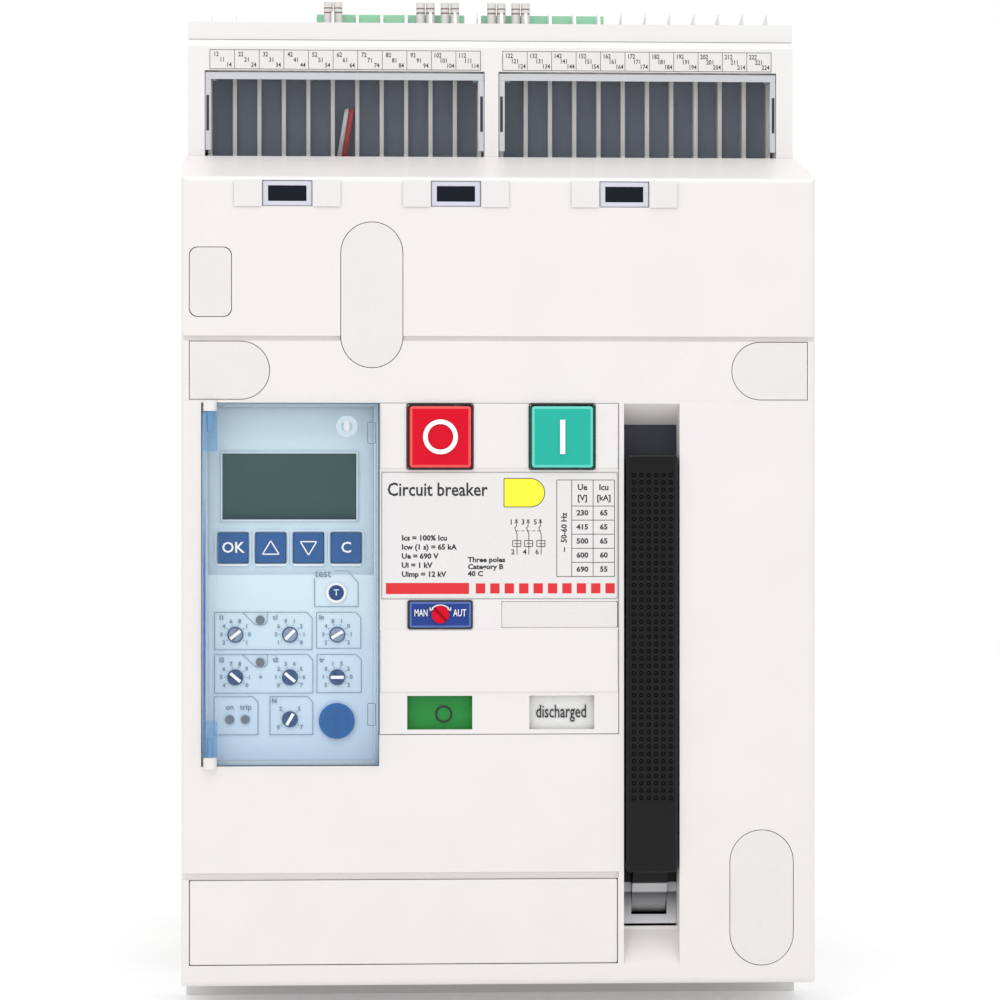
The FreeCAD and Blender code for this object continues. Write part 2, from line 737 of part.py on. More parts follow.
def unit_key(at):
    body = block(*at, KEY, KEY, (UPPER_FACE - KEY_PROUD, UPPER_FACE + 3))
    body = body.makeFillet(1.2, along(body, Vec(0, 1, 0)))
    return soften_front(body, UPPER_FACE - KEY_PROUD, 0.5)


def test_button():
    return soften_front(rod_y(TEST_AT, (LOWER_FACE - 1, LOWER_FACE + 3), TEST_R), LOWER_FACE - 1, 0.3)


def dial(at, turn):
    """Screwdriver-set rotary dial with an arrow-shaped slot."""
    y = (LOWER_FACE - DIAL_PROUD, LOWER_FACE - DIAL_PROUD + DIAL_DEPTH)
    body = rod_y(at, y, DIAL_R)
    slot = block(*at, 1.0, 2 * DIAL_R - 1.6, (y[0] - 1, y[0] + 0.8))
    slot.rotate(Vec(at[0], 0, at[1]), Vec(0, 1, 0), turn)
    return body.cut(slot)


def port_cap():
    head = soften_front(rod_y(CAP_AT, (LOWER_FACE - 2.2, LOWER_FACE - 0.1), CAP_R), LOWER_FACE - 2.2, 0.5)
    return fuse(head, rod_y(CAP_AT, (LOWER_FACE - 0.5, LOWER_FACE + 4.5), CAP_R - 2.4))


def status_leds():
    return group([rod_y(at, (LOWER_FACE - 0.5, LOWER_FACE + 1.8), LED_R) for at in LEDS])


def unit_cover():
    """Clear lid: a shallow tray with a rolled hinge edge."""
    front = -LID_ROLL_R
    hollow_x = (LID_X[0] - 1, LID_X[1] - LID_T)
    hollow_z = (LID_Z[0] + LID_T, LID_Z[1] - LID_T)
    tray = box(LID_X, (front, LID_LIP), LID_Z)
    tray = tray.cut(box(hollow_x, (front + LID_T, LID_LIP + 1), hollow_z))
    roll_z = (LID_Z[0] + HINGE_BLOCK, LID_Z[1] - HINGE_BLOCK)
    web = box((LID_PIN[0], LID_X[0] + 1), (front, front + LID_T), roll_z)
    return cut(fuse(tray, web, rod_z(LID_PIN, roll_z, LID_ROLL_R)), *lid_pins(LID_PIN_R + RUN))


# ---------------------------------------------------------------- terminal housing
def bank_positions():
    """Left edges of the auxiliary terminal positions of both banks."""
    left = [-BANK_X - (i + 1) * PITCH for i in reversed(range(POSITIONS))]
    return left + [BANK_X + i * PITCH for i in range(POSITIONS)]


def flap_pins(r):
    pins = []
    for side in (-1, 1):
        near, far = sorted((side * POCKET_X[0], side * POCKET_X[1]))
        pins.append(rod_x((near - 3, near + FLAP_PIN_L), FLAP_PIN, r))
        pins.append(rod_x((far - FLAP_PIN_L, far + 3), FLAP_PIN, r))
    return pins


def terminal_housing():
    half = TERMINAL_W / 2
    y = (TERMINAL_FRONT, TERMINAL_FRONT + TERMINAL_DEPTH)
    body = box((-half, half), y, TERMINAL_Z)
    beyond = TERMINAL_Z[1] + 1
    front = y[0] - 1
    bevel = [(front, BEVEL_Z[0]), (front, beyond), (y[0] + BEVEL, beyond), (y[0] + BEVEL, BEVEL_Z[1])]
    body = body.cut(plate_x(bevel, (-half - 1, half + 1)))
    for side in (-1, 1):
        x = sorted((side * POCKET_X[0], side * POCKET_X[1]))
        body = body.cut(box(x, (front, y[0] + POCKET_DEPTH), POCKET_Z))
    ribs = []
    for side in (-1, 1):
        for i in range(POSITIONS + 1):
            x = side * (BANK_X + i * PITCH)
            y_rib = (y[0] + RIB_FRONT, y[0] + POCKET_DEPTH + 1)
            ribs.append(box((x - RIB_T / 2, x + RIB_T / 2), y_rib, (POCKET_Z[0] - 1, POCKET_Z[1] + 1)))
    body = fuse(body, *ribs, *fins())
    for strip in connector_strips(GAP):
        body = body.cut(strip)
    return cut(body, *flap_pins(FLAP_PIN_R + 0.03), *connector_screws(0.1))


def fins():
    """Peaked dividers on top of the housing."""
    root = TERMINAL_Z[1] - 1.4
    front, back = [TERMINAL_FRONT + deep for deep in FIN_SPAN]
    crest = [(TERMINAL_FRONT + deep, FIN_TOP) for deep in FIN_CREST]
    outline = [(front, root), *crest, (back, root)]
    places = bank_positions() + [-BANK_X, BANK_X + POSITIONS * PITCH]
    return [plate_x(outline, (x - FIN_T / 2, x + FIN_T / 2)) for x in places]


def auxiliary_contacts():
    y = (TERMINAL_FRONT + CONTACT_FRONT, TERMINAL_FRONT + POCKET_DEPTH - 0.1)
    z = (POCKET_Z[0] + 0.1, POCKET_Z[1] - 0.1)
    side = RIB_T / 2 + 0.1
    return group([box((x + side, x + PITCH - side), y, z) for x in bank_positions()])


def terminal_cover(side):
    """Smoked flap with a rolled top edge that turns on two stub pins."""
    x = sorted((side * (POCKET_X[0] + GAP), side * (POCKET_X[1] - GAP)))
    front = FLAP_PIN[0] - FLAP_ROLL_R
    plate = box(x, (front, front + FLAP_T), (FLAP_BOTTOM, FLAP_PIN[1]))
    corners = [e for e in along(plate, Vec(0, 1, 0)) if e.CenterOfMass.z < FLAP_BOTTOM + 1]
    plate = plate.makeFillet(FLAP_CORNER_R, corners)
    return cut(fuse(plate, rod_x(x, FLAP_PIN, FLAP_ROLL_R)), *flap_pins(FLAP_PIN_R + RUN))


def connector_strips(clear=0.0):
    y = (TERMINAL_FRONT + STRIP_SPAN[0] - clear, TERMINAL_FRONT + STRIP_SPAN[1] + clear)
    z = (STRIP_BOTTOM - clear, STRIP_TOP)
    left = box((-STRIP_X[1] - clear, -STRIP_X[0] + clear), y, z)
    right = box((-STRIP_X_RIGHT[0] - clear, STRIP_X_RIGHT[1] + clear), y, z)
    return [left, right]


def connector_screws(clear=0.0):
    screws = []
    for x in SCREW_POSITIONS:
        for side in (-SCREW_SPREAD, SCREW_SPREAD):
            z = (SCREW_BOTTOM - clear, SCREW_TOP + clear)
            screws.append(rod_z((x + side, SCREW_Y), z, SCREW_R + clear))
    return screws


def signal_wires():
    """Two insulated leads that come up in front of the sixth contact and turn into it."""
    wires = []
    middle = -BANK_X - 5.5 * PITCH
    contact = TERMINAL_FRONT + CONTACT_FRONT
    start = POCKET_Z[0] + WIRE_START
    turn = start + WIRE_RISE
    depth = contact - WIRE_FRONT
    centre = depth + WIRE_BEND_R
    for x in (middle - WIRE_SPREAD, middle + WIRE_SPREAD):
        low = rod_z((x, depth), (start, turn), WIRE_R)
        ring = Part.makeTorus(WIRE_BEND_R, WIRE_R, Vec(x, centre, turn), Vec(1, 0, 0), -180, 180, 360)
        bend = ring.common(box((x - 2, x + 2), (depth - 2, centre), (turn, turn + 6.0)))
        end = rod_y((x, turn + WIRE_BEND_R), (centre, contact - 0.05), WIRE_R)
        wires.append(fuse(low, bend, end))
    return group(wires)


# ---------------------------------------------------------------- chassis and mechanism
def chassis():
    """Folded steel tray with a step behind the cover, a head plate and a foot lip."""
    half = CHASSIS_W / 2
    rear = REAR_W / 2
    y0 = TERMINAL_FRONT
    top = TERMINAL_Z[0] - GAP
    step_y = (CHASSIS_STEP - SIDE_T, CHASSIS_STEP)
    pieces = [
        box((-half, half), (y0, CHASSIS_STEP), (0, BASE_T)),
        box((-rear, rear), (y0, CHASSIS_BACK), (0, BASE_T)),
        box((-half, half), (y0, y0 + SIDE_T), (CHASSIS_HEAD, top)),
        box((-half, half), (y0, y0 + SIDE_T), (0, CHASSIS_LIP)),
    ]
    for side in (-1, 1):
        outer = sorted((side * half, side * (half - SIDE_T)))
        inner = sorted((side * rear, side * (rear - SIDE_T)))
        step = sorted((side * half, side * (rear - SIDE_T)))
        pieces.append(box(outer, (y0, CHASSIS_STEP), (0, top)))
        pieces.append(box(inner, (step_y[0], CHASSIS_BACK), (0, top)))
        pieces.append(box(step, step_y, (0, top)))
    bolts = [rod_x((-half, half), (y, SIDE_BOLT_Z), SIDE_BOLT_R + BOLT_PLAY) for y in FOOT_HOLES_Y]
    return cut(fuse(*pieces), rod_x((-half - 1, half + 1), SHAFT, POLE_SHAFT_R + RUN), *bolts)


def mechanism_frame():
    """Two bearing plates, tied by the guide, the bracket, the button stop, a back plate and a foot."""
    across = (FRAME_X[0], FRAME_X[1] + FRAME_T)
    depth = (CAMSHAFT[0] - BRACKET_REACH, CAMSHAFT[0] + BRACKET_REACH)
    stop_y = FRAME_Y[0] + BUTTON_BACK
    foot_y = (TERMINAL_FRONT + FRAME_FOOT_DEEP, FRAME_Y[1])
    foot_z = (BASE_T + GAP, FRAME_Z[0] + 1)
    plates = [box((x, x + FRAME_T), FRAME_Y, FRAME_Z) for x in FRAME_X]
    legs = [box((x, x + FRAME_T), foot_y, foot_z) for x in FRAME_X]
    body = fuse(
        *plates,
        box(across, depth, GUIDE_Z),
        box(across, depth, BRACKET_Z),
        box((OFF_X - STOP_REACH, across[1]), (stop_y, stop_y + STOP_T), (STOP_Z, FRAME_Z[1])),
        box(across, (FRAME_Y[1] - FRAME_T, FRAME_Y[1]), (BACK_PLATE_Z, FRAME_Z[1])),
        box(across, foot_y, (foot_z[0], foot_z[0] + FRAME_T)),
        *legs,
    )
    reach = (across[0] - 1, across[1] + 1)
    for z in (GUIDE_Z, BRACKET_Z):
        body = body.cut(rod_z((CAM_MIDDLE, CAMSHAFT[0]), (z[0] - 1, z[1] + 1), PLUNGER_R + RUN))
    return cut(
        body,
        rod_x(reach, PIVOT, PIVOT_R + RUN),
        rod_x(reach, CAMSHAFT, CAMSHAFT_R + RUN),
        rod_x(reach, SHAFT, POLE_SHAFT_R + RUN),
    )


def cam_outline():
    """Spiral cam: its lift grows evenly with the angle, so the follower keeps a constant ratio."""
    points = []
    slope = CAM_LIFT / math.radians(CAM_SWING)
    rise_end = CAM_SWING + CAM_MARGIN
    high = CAM_BASE + slope * math.radians(rise_end)
    low = CAM_BASE - slope * math.radians(CAM_MARGIN)
    fall = 360.0 - rise_end - CAM_MARGIN
    for step in range(CAM_POINTS):
        turn = step * 360.0 / CAM_POINTS - CAM_MARGIN
        if turn <= rise_end:
            r = CAM_BASE + slope * math.radians(turn)
            rate = slope
        else:
            share = (turn - rise_end) / fall
            r = high + (low - high) * (1 - math.cos(math.pi * share)) / 2
            rate = (low - high) * math.pi * math.sin(math.pi * share) / 2 / math.radians(fall)
        angle = math.radians(90.0 + turn)
        cos, sin = math.cos(angle), math.sin(angle)
        back = (FOLLOWER_R + GAP) / math.hypot(r, rate)
        y = CAMSHAFT[0] + r * cos - back * (r * cos + rate * sin)
        z = CAMSHAFT[1] + r * sin - back * (r * sin - rate * cos)
        points.append((y, z))
    return points


def camshaft():
    shaft = rod_x(shaft_span(), CAMSHAFT, CAMSHAFT_R)
    tooth = MESH + math.pi + math.pi / PINION_TEETH
    outline = gear_outline(CAMSHAFT, PINION_TEETH, tooth, PINION_TEETH)
    pinion = plate_x(outline, (GEAR_X[0] - 0.5, GEAR_X[1] + 0.5))
    return fuse(shaft, pinion, plate_x(cam_outline(), CAM_X))


def spring_plunger():
    at = (CAM_MIDDLE, CAMSHAFT[0])
    nose_z = CAMSHAFT[1] + CAM_BASE
    nose = rod_x(CAM_X, (CAMSHAFT[0], nose_z), FOLLOWER_R)
    return fuse(nose, rod_z(at, (nose_z, PLUNGER_TOP), PLUNGER_R), rod_z(at, COLLAR_Z, COLLAR_R))


def closing_spring():
    wire = CLOSING_WIRE
    start = COLLAR_Z[1] + wire + 0.1
    length = BRACKET_Z[0] - start - wire - 0.1
    return coil((CAM_MIDDLE, CAMSHAFT[0]), start, length, SPRING_R_MEAN, wire, CLOSING_TURNS, "z")


def release_coils():
    """Closing, opening and undervoltage coils, each behind its window."""
    coils = []
    for x, _ in window_places():
        body = box((x - COIL_W / 2, x + COIL_W / 2), (COIL_FRONT, TERMINAL_FRONT - GAP), COIL_Z)
        coils.append(fuse(body, rod_z((x, ARMATURE_Y), (ARMATURE_Z, COIL_Z[0]), ARMATURE_R)))
    return group(coils)


# ---------------------------------------------------------------- poles
def pole_shaft():
    half = CHASSIS_W / 2
    body = rod_x((-half + 0.5, half - 0.5), SHAFT, POLE_SHAFT_R)
    for x in POLES:
        cheek = (x - CRANK_T / 2, x + CRANK_T / 2)
        body = fuse(body, crank_arm(SHAFT, SHAFT_PIN, cheek), rod_x(link_span(x), SHAFT_PIN, CRANK_PIN_R))
    return body


def crank_arm(root, pin, x):
    """Flat arm from a shaft to a round eye at a pin."""
    low = [(root[0] + ARM_HALF, root[1]), (root[0] - ARM_HALF, root[1])]
    high = [(pin[0] - ARM_HALF, pin[1]), (pin[0] + ARM_HALF, pin[1])]
    return fuse(plate_x(low + high, x), rod_x(x, pin, ARM_HALF))


def link_span(x):
    reach = CRANK_T / 2 + GAP + LINK_T + 0.6
    return (x - reach, x + reach)


def coupling_links():
    links = []
    start = CRANK_T / 2 + GAP
    below = [(SHAFT_PIN[0], SHAFT_PIN[1] - LINK_R), (CARRIER_PIN[0], CARRIER_PIN[1] - LINK_R)]
    above = [(CARRIER_PIN[0], CARRIER_PIN[1] + LINK_R), (SHAFT_PIN[0], SHAFT_PIN[1] + LINK_R)]
    for x in POLES:
        for side in (-1, 1):
            span = sorted((x + side * start, x + side * (start + LINK_T)))
            ends = [rod_x(span, pin, LINK_R) for pin in (SHAFT_PIN, CARRIER_PIN)]
            body = fuse(plate_x(below + above, span), *ends)
            driven = rod_x(span, SHAFT_PIN, CRANK_PIN_R + RUN)
            loose = rod_x(span, CARRIER_PIN, CRANK_PIN_R + 2 * RUN)
            links.append(cut(body, driven, loose))
    return group(links)


def contact_carriers():
    """Swinging arms with the moving contact fingers, each on its own trunnion."""
    carriers = []
    y, z = CARRIER_PIN
    arm_z = z + STALK_TOP
    finger_z = (arm_z + 8, CARRIER_TIP + 20)
    for x in POLES:
        ear = (x - CRANK_T / 2, x + CRANK_T / 2)
        wide = (x - CARRIER_W / 2, x + CARRIER_W / 2)
        stalk = [(CARRIER[0] - 5, CARRIER[1]), (y - 10, arm_z), (y + 6, arm_z), (CARRIER[0] + 8, CARRIER[1])]
        root = [(y + FINGER_ROOT[1], arm_z - 2), (y + FINGER_ROOT[0], arm_z - 2)]
        tip = [(y + FINGER_TIP[0], CARRIER_TIP + FINGER_OVER), (y + FINGER_TIP[1], CARRIER_TIP + FINGER_OVER)]
        body = fuse(
            rod_x((x - POLE_PITCH / 2 + 0.5, x + POLE_PITCH / 2 - 0.5), CARRIER, TRUNNION_R),
            rod_x(wide, CARRIER, BOSS_R),
            crank_arm(CARRIER, CARRIER_PIN, ear),
            rod_x(link_span(x), CARRIER_PIN, CRANK_PIN_R),
            plate_x(stalk, ear),
            plate_x(root + tip + [(y + FINGER_TIP[2], CARRIER_TIP)], wide),
        )
        for i in range(1, FINGERS):
            at = wide[0] + i * CARRIER_W / FINGERS
            slit = (at - FINGER_SLIT / 2, at + FINGER_SLIT / 2)
            body = body.cut(box(slit, (CARRIER[0] - 30, CARRIER[0] + 40), finger_z))
        carriers.append(body)
    return group(carriers)


def flexible_braids():
    """One bent copper strip for each pole, from the carrier's boss to the lower bar."""
    near, inner, far = [CARRIER[0] + reach for reach in BRAID_REACH]
    low, middle, high = BRAID_Z
    outline = [(inner, high), (inner, middle), (far, middle), (far, low), (near, low), (near, high)]
    return group([plate_x(outline, (x - BRAID_W / 2, x + BRAID_W / 2)) for x in POLES])


def fixed_bar_start():
    """Depth of the fixed contact's front face."""
    return CARRIER[0] + FIXED_START


def bar_hole(x, y, low):
    """Clearance for a terminal bar through a wall."""
    side = BAR_W / 2 + GAP
    return box((x - side, x + side), y, (low - GAP, low + BAR_T + GAP))


def pole_housing():
    half = HOUSING_W / 2
    body = box((-half, half), HOUSING_Y, HOUSING_Z)
    inside_z = (HOUSING_Z[0] + CHAMBER_FLOOR, HOUSING_Z[1] + 1)
    door_y = (HOUSING_Y[0] - 1, CHAMBER_Y[0] + 1)
    door_z = (SHAFT[1] - DOOR[0], SHAFT[1] + DOOR[1])
    for x in POLES:
        body = body.cut(box((x - CHAMBER_W / 2, x + CHAMBER_W / 2), CHAMBER_Y, inside_z))
        body = body.cut(box((x - DOOR_W / 2, x + DOOR_W / 2), door_y, door_z))
        for low in (UPPER_BAR_Z, LOWER_BAR_Z):
            body = body.cut(bar_hole(x, (CHAMBER_Y[1] - 1, HOUSING_Y[1] + 1), low))
    return body.cut(rod_x((-half - 1, half + 1), CARRIER, TRUNNION_R + RUN))


def arc_chutes():
    """Vented boxes over the contacts, with slots between the splitter walls."""
    chutes = []
    half = CHAMBER_W / 2 - GAP
    slot_z = (CHUTE_Z[0] - 1, CHUTE_Z[1] - CHUTE_ROOF)
    vent_z = (slot_z[1] - 1, CHUTE_Z[1] + 1)
    for x in POLES:
        body = box((x - half, x + half), CHUTE_Y, CHUTE_Z)
        slot_x = (x - half + CHUTE_WALL, x + half - CHUTE_WALL)
        vent_x = (x - half + VENT_INSET, x + half - VENT_INSET)
        for i in range(CHUTE_SLOTS):
            y = CHUTE_Y[0] + 6 + i * CHUTE_PITCH
            body = body.cut(box(slot_x, (y, y + CHUTE_SLOT), slot_z))
            body = body.cut(box(vent_x, (y + 1.5, y + 1.5 + VENT), vent_z))
        chutes.append(body)
    return group(chutes)


def terminal_bar(x, low, start):
    bar = box((x - BAR_W / 2, x + BAR_W / 2), (start, BAR_END), (low, low + BAR_T))
    z = (low - 1, low + BAR_T + 1)
    sides = (-BOLT_SPAN / 2, BOLT_SPAN / 2)
    return cut(bar, *[rod_z((x + side, HOLE_Y), z, TERMINAL_HOLE_R) for side in sides])


def upper_terminals():
    """Bars with the fixed contact under their inner ends."""
    bars = []
    width, depth, height = FIXED_TIP
    start = fixed_bar_start()
    for x in POLES:
        tip = box((x - width / 2, x + width / 2), (start, start + depth), (UPPER_BAR_Z - height, UPPER_BAR_Z))
        bars.append(fuse(terminal_bar(x, UPPER_BAR_Z, start), tip))
    return group(bars)


def lower_terminals():
    return group([terminal_bar(x, LOWER_BAR_Z, CARRIER[0] + BRAID_REACH[0]) for x in POLES])


def current_transformers():
    rings = []
    y = TRANSFORMER_Y
    z = (LOWER_BAR_Z - TRANSFORMER_WALL, LOWER_BAR_Z + BAR_T + TRANSFORMER_WALL)
    for x in POLES:
        ring = box((x - TRANSFORMER_W / 2, x + TRANSFORMER_W / 2), y, z)
        rings.append(ring.cut(bar_hole(x, (y[0] - 5, y[1] + 5), LOWER_BAR_Z)))
    return group(rings)


# ---------------------------------------------------------------- feet and fasteners
def mounting_feet():
    inner = FOOT_FACE
    wall = (inner, inner + FOOT_T)
    foot = box((inner, HALF_FOOT), FOOT_Y, (0, FOOT_T)).fuse(box(wall, FOOT_Y, (0, FOOT_H)))
    through = (wall[0] - 1, wall[1] + 1)
    for y in FOOT_HOLES_Y:
        foot = foot.cut(rod_z((FOOT_HOLE_X, y), (-1, FOOT_T + 1), FOOT_HOLE_R))
        foot = foot.cut(rod_x(through, (y, SIDE_BOLT_Z), SIDE_BOLT_R + BOLT_PLAY))
    foot = foot.removeSplitter()
    return group([foot, mirrored(foot)])


def fasteners():
    """Hexagon bolts of the feet and the clamp screws of the signal terminals."""
    bolts = []
    face = FOOT_FACE + FOOT_T
    for y in FOOT_HOLES_Y:
        shank = rod_x((face - FOOT_T - SIDE_T - 0.1, face + 0.1), (y, SIDE_BOLT_Z), SIDE_BOLT_R)
        angles = [math.pi / 3 * i for i in range(6)]
        head = [(y + BOLT_HEAD_R * math.cos(a), SIDE_BOLT_Z + BOLT_HEAD_R * math.sin(a)) for a in angles]
        bolt = fuse(shank, plate_x(head, (face + 0.1, face + 0.1 + BOLT_HEAD_T)))
        bolts += [bolt, mirrored(bolt)]
    return group(bolts + connector_screws())


def hinge_pins():
    return group(lid_pins(LID_PIN_R) + flap_pins(FLAP_PIN_R))


def main():
    os.makedirs("parts", exist_ok=True)
    save("front_cover", front_cover())
    save("control_panel", control_panel())
    save("lower_flap", lower_flap())
    save("blank_plugs", group(plugs()))
    save("accessory_window_frames", window_frames())
    save("window_panes", window_panes())
    save("rating_plate", rating_plate())
    save("off_button", push_button(OFF_X))
    save("on_button", push_button(ON_X))
    save("button_springs", button_springs())
    save("selector_block", selector_block())
    save("selector_knob", selector_knob())
    save("accessory_blank", accessory_blank())
    save("position_flag", indicator_flag(indicator_places()[0][0]))
    save("spring_flag", indicator_flag(indicator_places()[1][0]))
    save("charging_handle", charging_handle())
    save("handle_shaft", handle_shaft())
    save("drive_gear", drive_gear())
    save("handle_liner", handle_liner())
    save("protection_unit", protection_unit())
    save("unit_display", unit_display())
    for name, at in zip(("key_enter", "key_up", "key_down", "key_cancel"), key_places()):
        save(name, unit_key(at))
    save("test_button", test_button())
    for number, at in enumerate(dial_places(), 1):
        save("dial_" + str(number), dial(at, 25.0 * number))
    save("port_cap", port_cap())
    save("status_leds", status_leds())
    save("unit_cover", unit_cover())
    save("hinge_pins", hinge_pins())
    save("terminal_housing", terminal_housing())
    save("terminal_cover_left", terminal_cover(-1))
    save("terminal_cover_right", terminal_cover(1))
    save("connector_strips", group(connector_strips()))
    save("auxiliary_contacts", auxiliary_contacts())
    save("signal_wires", signal_wires())
    save("fasteners", fasteners())
    save("chassis", chassis())
    save("mounting_feet", mounting_feet())
    save("mechanism_frame", mechanism_frame())
    save("camshaft", camshaft())
    save("spring_plunger", spring_plunger())
    save("closing_spring", closing_spring())
    save("release_coils", release_coils())
    save("pole_shaft", pole_shaft())
    save("coupling_links", coupling_links())
    save("contact_carriers", contact_carriers())
    save("flexible_braids", flexible_braids())
    save("pole_housing", pole_housing())
    save("arc_chutes", arc_chutes())
    save("upper_terminals", upper_terminals())
    save("lower_terminals", lower_terminals())
    save("current_transformers", current_transformers())


main()
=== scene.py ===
"""Air circuit breaker: finishes, printing and fine detail around the fixed CAD model.

Lengths are in millimetres until point() or size() turns them into metres, and depth is counted from the
front face of the control panel.
"""

import json
import math

import bmesh
import bpy
from mathutils import Matrix, Vector

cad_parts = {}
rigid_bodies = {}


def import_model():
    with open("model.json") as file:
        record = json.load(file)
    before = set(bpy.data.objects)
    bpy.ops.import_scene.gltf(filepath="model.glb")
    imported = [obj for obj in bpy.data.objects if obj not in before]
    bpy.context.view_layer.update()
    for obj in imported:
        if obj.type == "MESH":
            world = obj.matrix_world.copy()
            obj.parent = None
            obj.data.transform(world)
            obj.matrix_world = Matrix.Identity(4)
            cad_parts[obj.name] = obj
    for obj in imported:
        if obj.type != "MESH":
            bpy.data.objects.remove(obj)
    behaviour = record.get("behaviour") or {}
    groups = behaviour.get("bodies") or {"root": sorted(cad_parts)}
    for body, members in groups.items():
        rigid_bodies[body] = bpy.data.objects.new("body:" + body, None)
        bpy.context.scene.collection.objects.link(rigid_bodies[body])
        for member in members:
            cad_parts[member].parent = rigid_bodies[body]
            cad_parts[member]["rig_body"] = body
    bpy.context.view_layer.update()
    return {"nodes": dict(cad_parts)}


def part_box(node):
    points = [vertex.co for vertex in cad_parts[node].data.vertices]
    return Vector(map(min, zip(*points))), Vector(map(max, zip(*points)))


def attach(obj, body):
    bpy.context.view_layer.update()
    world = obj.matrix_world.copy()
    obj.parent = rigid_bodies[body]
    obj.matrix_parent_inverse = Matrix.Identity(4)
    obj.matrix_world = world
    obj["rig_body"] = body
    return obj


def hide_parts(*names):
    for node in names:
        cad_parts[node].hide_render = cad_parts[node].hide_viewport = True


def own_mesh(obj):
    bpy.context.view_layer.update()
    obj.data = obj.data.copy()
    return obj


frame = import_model()

MM = 0.001
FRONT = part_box("control_panel")[0].y
PRINT = 0.03            # how far printing stands off its face
BREAKER = "breaker"
OFF_X, ON_X = -24.6, 26.0       # middles of the two push buttons
BUTTON_Z = 238.1
SELECTOR_Z = 164.6
VIEW_WIDTH = 413.847            # what the picture takes in at the front face


def size(length):
    return length * MM


def point(x, depth, z):
    """A place on the breaker: across, behind the front face, above the floor."""
    return Vector((x * MM, FRONT + depth * MM, z * MM))


def limits(node):
    """(x pair, depth pair, z pair) of a CAD node, in millimetres."""
    low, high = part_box(node)
    depth = [(v - FRONT) / MM for v in (low.y, high.y)]
    return (low.x / MM, high.x / MM), tuple(depth), (low.z / MM, high.z / MM)


# ------------------------------------------------------------------ shader maths
class Value:
    """A shader socket that takes part in Python arithmetic."""

    def __init__(self, finish, socket):
        self.finish = finish
        self.socket = socket

    def math(self, operation, *others, swap=False):
        values = [self, *others]
        if swap:
            values.reverse()
        inputs = {i: v for i, v in enumerate(values)}
        return self.finish.node("ShaderNodeMath", {"operation": operation}, inputs)

    def __add__(self, other):
        return self.math("ADD", other)

    def __sub__(self, other):
        return self.math("SUBTRACT", other)

    def __rsub__(self, other):
        return self.math("SUBTRACT", other, swap=True)

    def __mul__(self, other):
        return self.math("MULTIPLY", other)

    def __gt__(self, other):
        return self.math("GREATER_THAN", other)

    def __lt__(self, other):
        return self.math("LESS_THAN", other)

    __radd__ = __add__
    __rmul__ = __mul__


class Finish:
    """One material, built on a Principled shader."""

    def __init__(self, name, colour, roughness=0.5, **fixed):
        self.material = bpy.data.materials.new(name)
        self.material.use_nodes = True
        self.tree = self.material.node_tree
        self.shader = self.tree.nodes["Principled BSDF"]
        self.set("Base Color", (*colour, 1.0))
        self.set("Roughness", roughness)
        for key, value in fixed.items():
            self.set(key.replace("_", " ").title().replace("Ior", "IOR"), value)
        coordinates = self.tree.nodes.new("ShaderNodeTexCoord")
        self.place = Value(self, coordinates.outputs["Object"])
        self.material.diffuse_color = (*colour, 1.0)

    def node(self, kind, settings=None, inputs=None, output=0):
        made = self.tree.nodes.new(kind)
        for key, value in (settings or {}).items():
            if key == "stops":
                ramp = made.color_ramp.elements
                for i, (at, tint) in enumerate(value):
                    stop = ramp[i] if i < 2 else ramp.new(at)
                    stop.position = at
                    stop.color = tint
            else:
                setattr(made, key, value)
        for key, value in (inputs or {}).items():
            if isinstance(value, Value):
                self.tree.links.new(value.socket, made.inputs[key])
            else:
                made.inputs[key].default_value = value
        return Value(self, made.outputs[output])

    def set(self, name, value):
        if isinstance(value, Value):
            self.tree.links.new(value.socket, self.shader.inputs[name])
        else:
            self.shader.inputs[name].default_value = value

    def noise(self, scale, detail=3.0, stretch=(1, 1, 1)):
        place = self.node("ShaderNodeMapping", {}, {"Vector": self.place, "Scale": stretch})
        return self.node("ShaderNodeTexNoise", {}, {"Vector": place, "Scale": scale, "Detail": detail})

    def cells(self, scale):
        inputs = {"Vector": self.place, "Scale": scale}
        return self.node("ShaderNodeTexVoronoi", {"feature": "DISTANCE_TO_EDGE"}, inputs)

    def axis(self, letter):
        return self.node("ShaderNodeSeparateXYZ", {}, {"Vector": self.place}, "XYZ".index(letter))

    def between(self, letter, low, high):
        """1 where an Object coordinate lies between two lengths in millimetres."""
        at = self.axis(letter)
        return (at > low * MM) * (at < high * MM)

    def mix(self, factor, a, b):
        inputs = {0: factor, 6: colour4(a), 7: colour4(b)}
        return self.node("ShaderNodeMix", {"data_type": "RGBA"}, inputs, 2)

    def bump(self, height, depth):
        inputs = {"Height": height, "Distance": depth, "Strength": 1.0}
        self.set("Normal", self.node("ShaderNodeBump", {}, inputs))


def colour4(value):
    return value if isinstance(value, Value) else (*value, 1.0)


def shade(colour, factor):
    return tuple(min(1.0, c * factor) for c in colour)


def moulded(name, colour, roughness=0.45, grain=0.00004, variation=0.03, **fixed):
    """Injection moulding: faint mottling, a fine spark-eroded grain and slightly uneven gloss."""
    finish = Finish(name, colour, roughness, **fixed)
    mottle = finish.noise(35.0, 4.0)
    fine = finish.noise(2600.0, 2.0)
    finish.set("Base Color", finish.mix(mottle, shade(colour, 1 - variation), shade(colour, 1 + variation)))
    finish.set("Roughness", fine * 0.10 + mottle * 0.06 + (roughness - 0.08))
    finish.bump(fine, grain)
    return finish


def leather_grain(finish, mask=None):
    """The pebbled grain of the blanking plugs and of the strip across the cover."""
    pebbles = finish.cells(620.0)
    soft = finish.noise(900.0, 3.0)
    height = pebbles * 0.7 + soft * 0.5
    return height if mask is None else height * mask


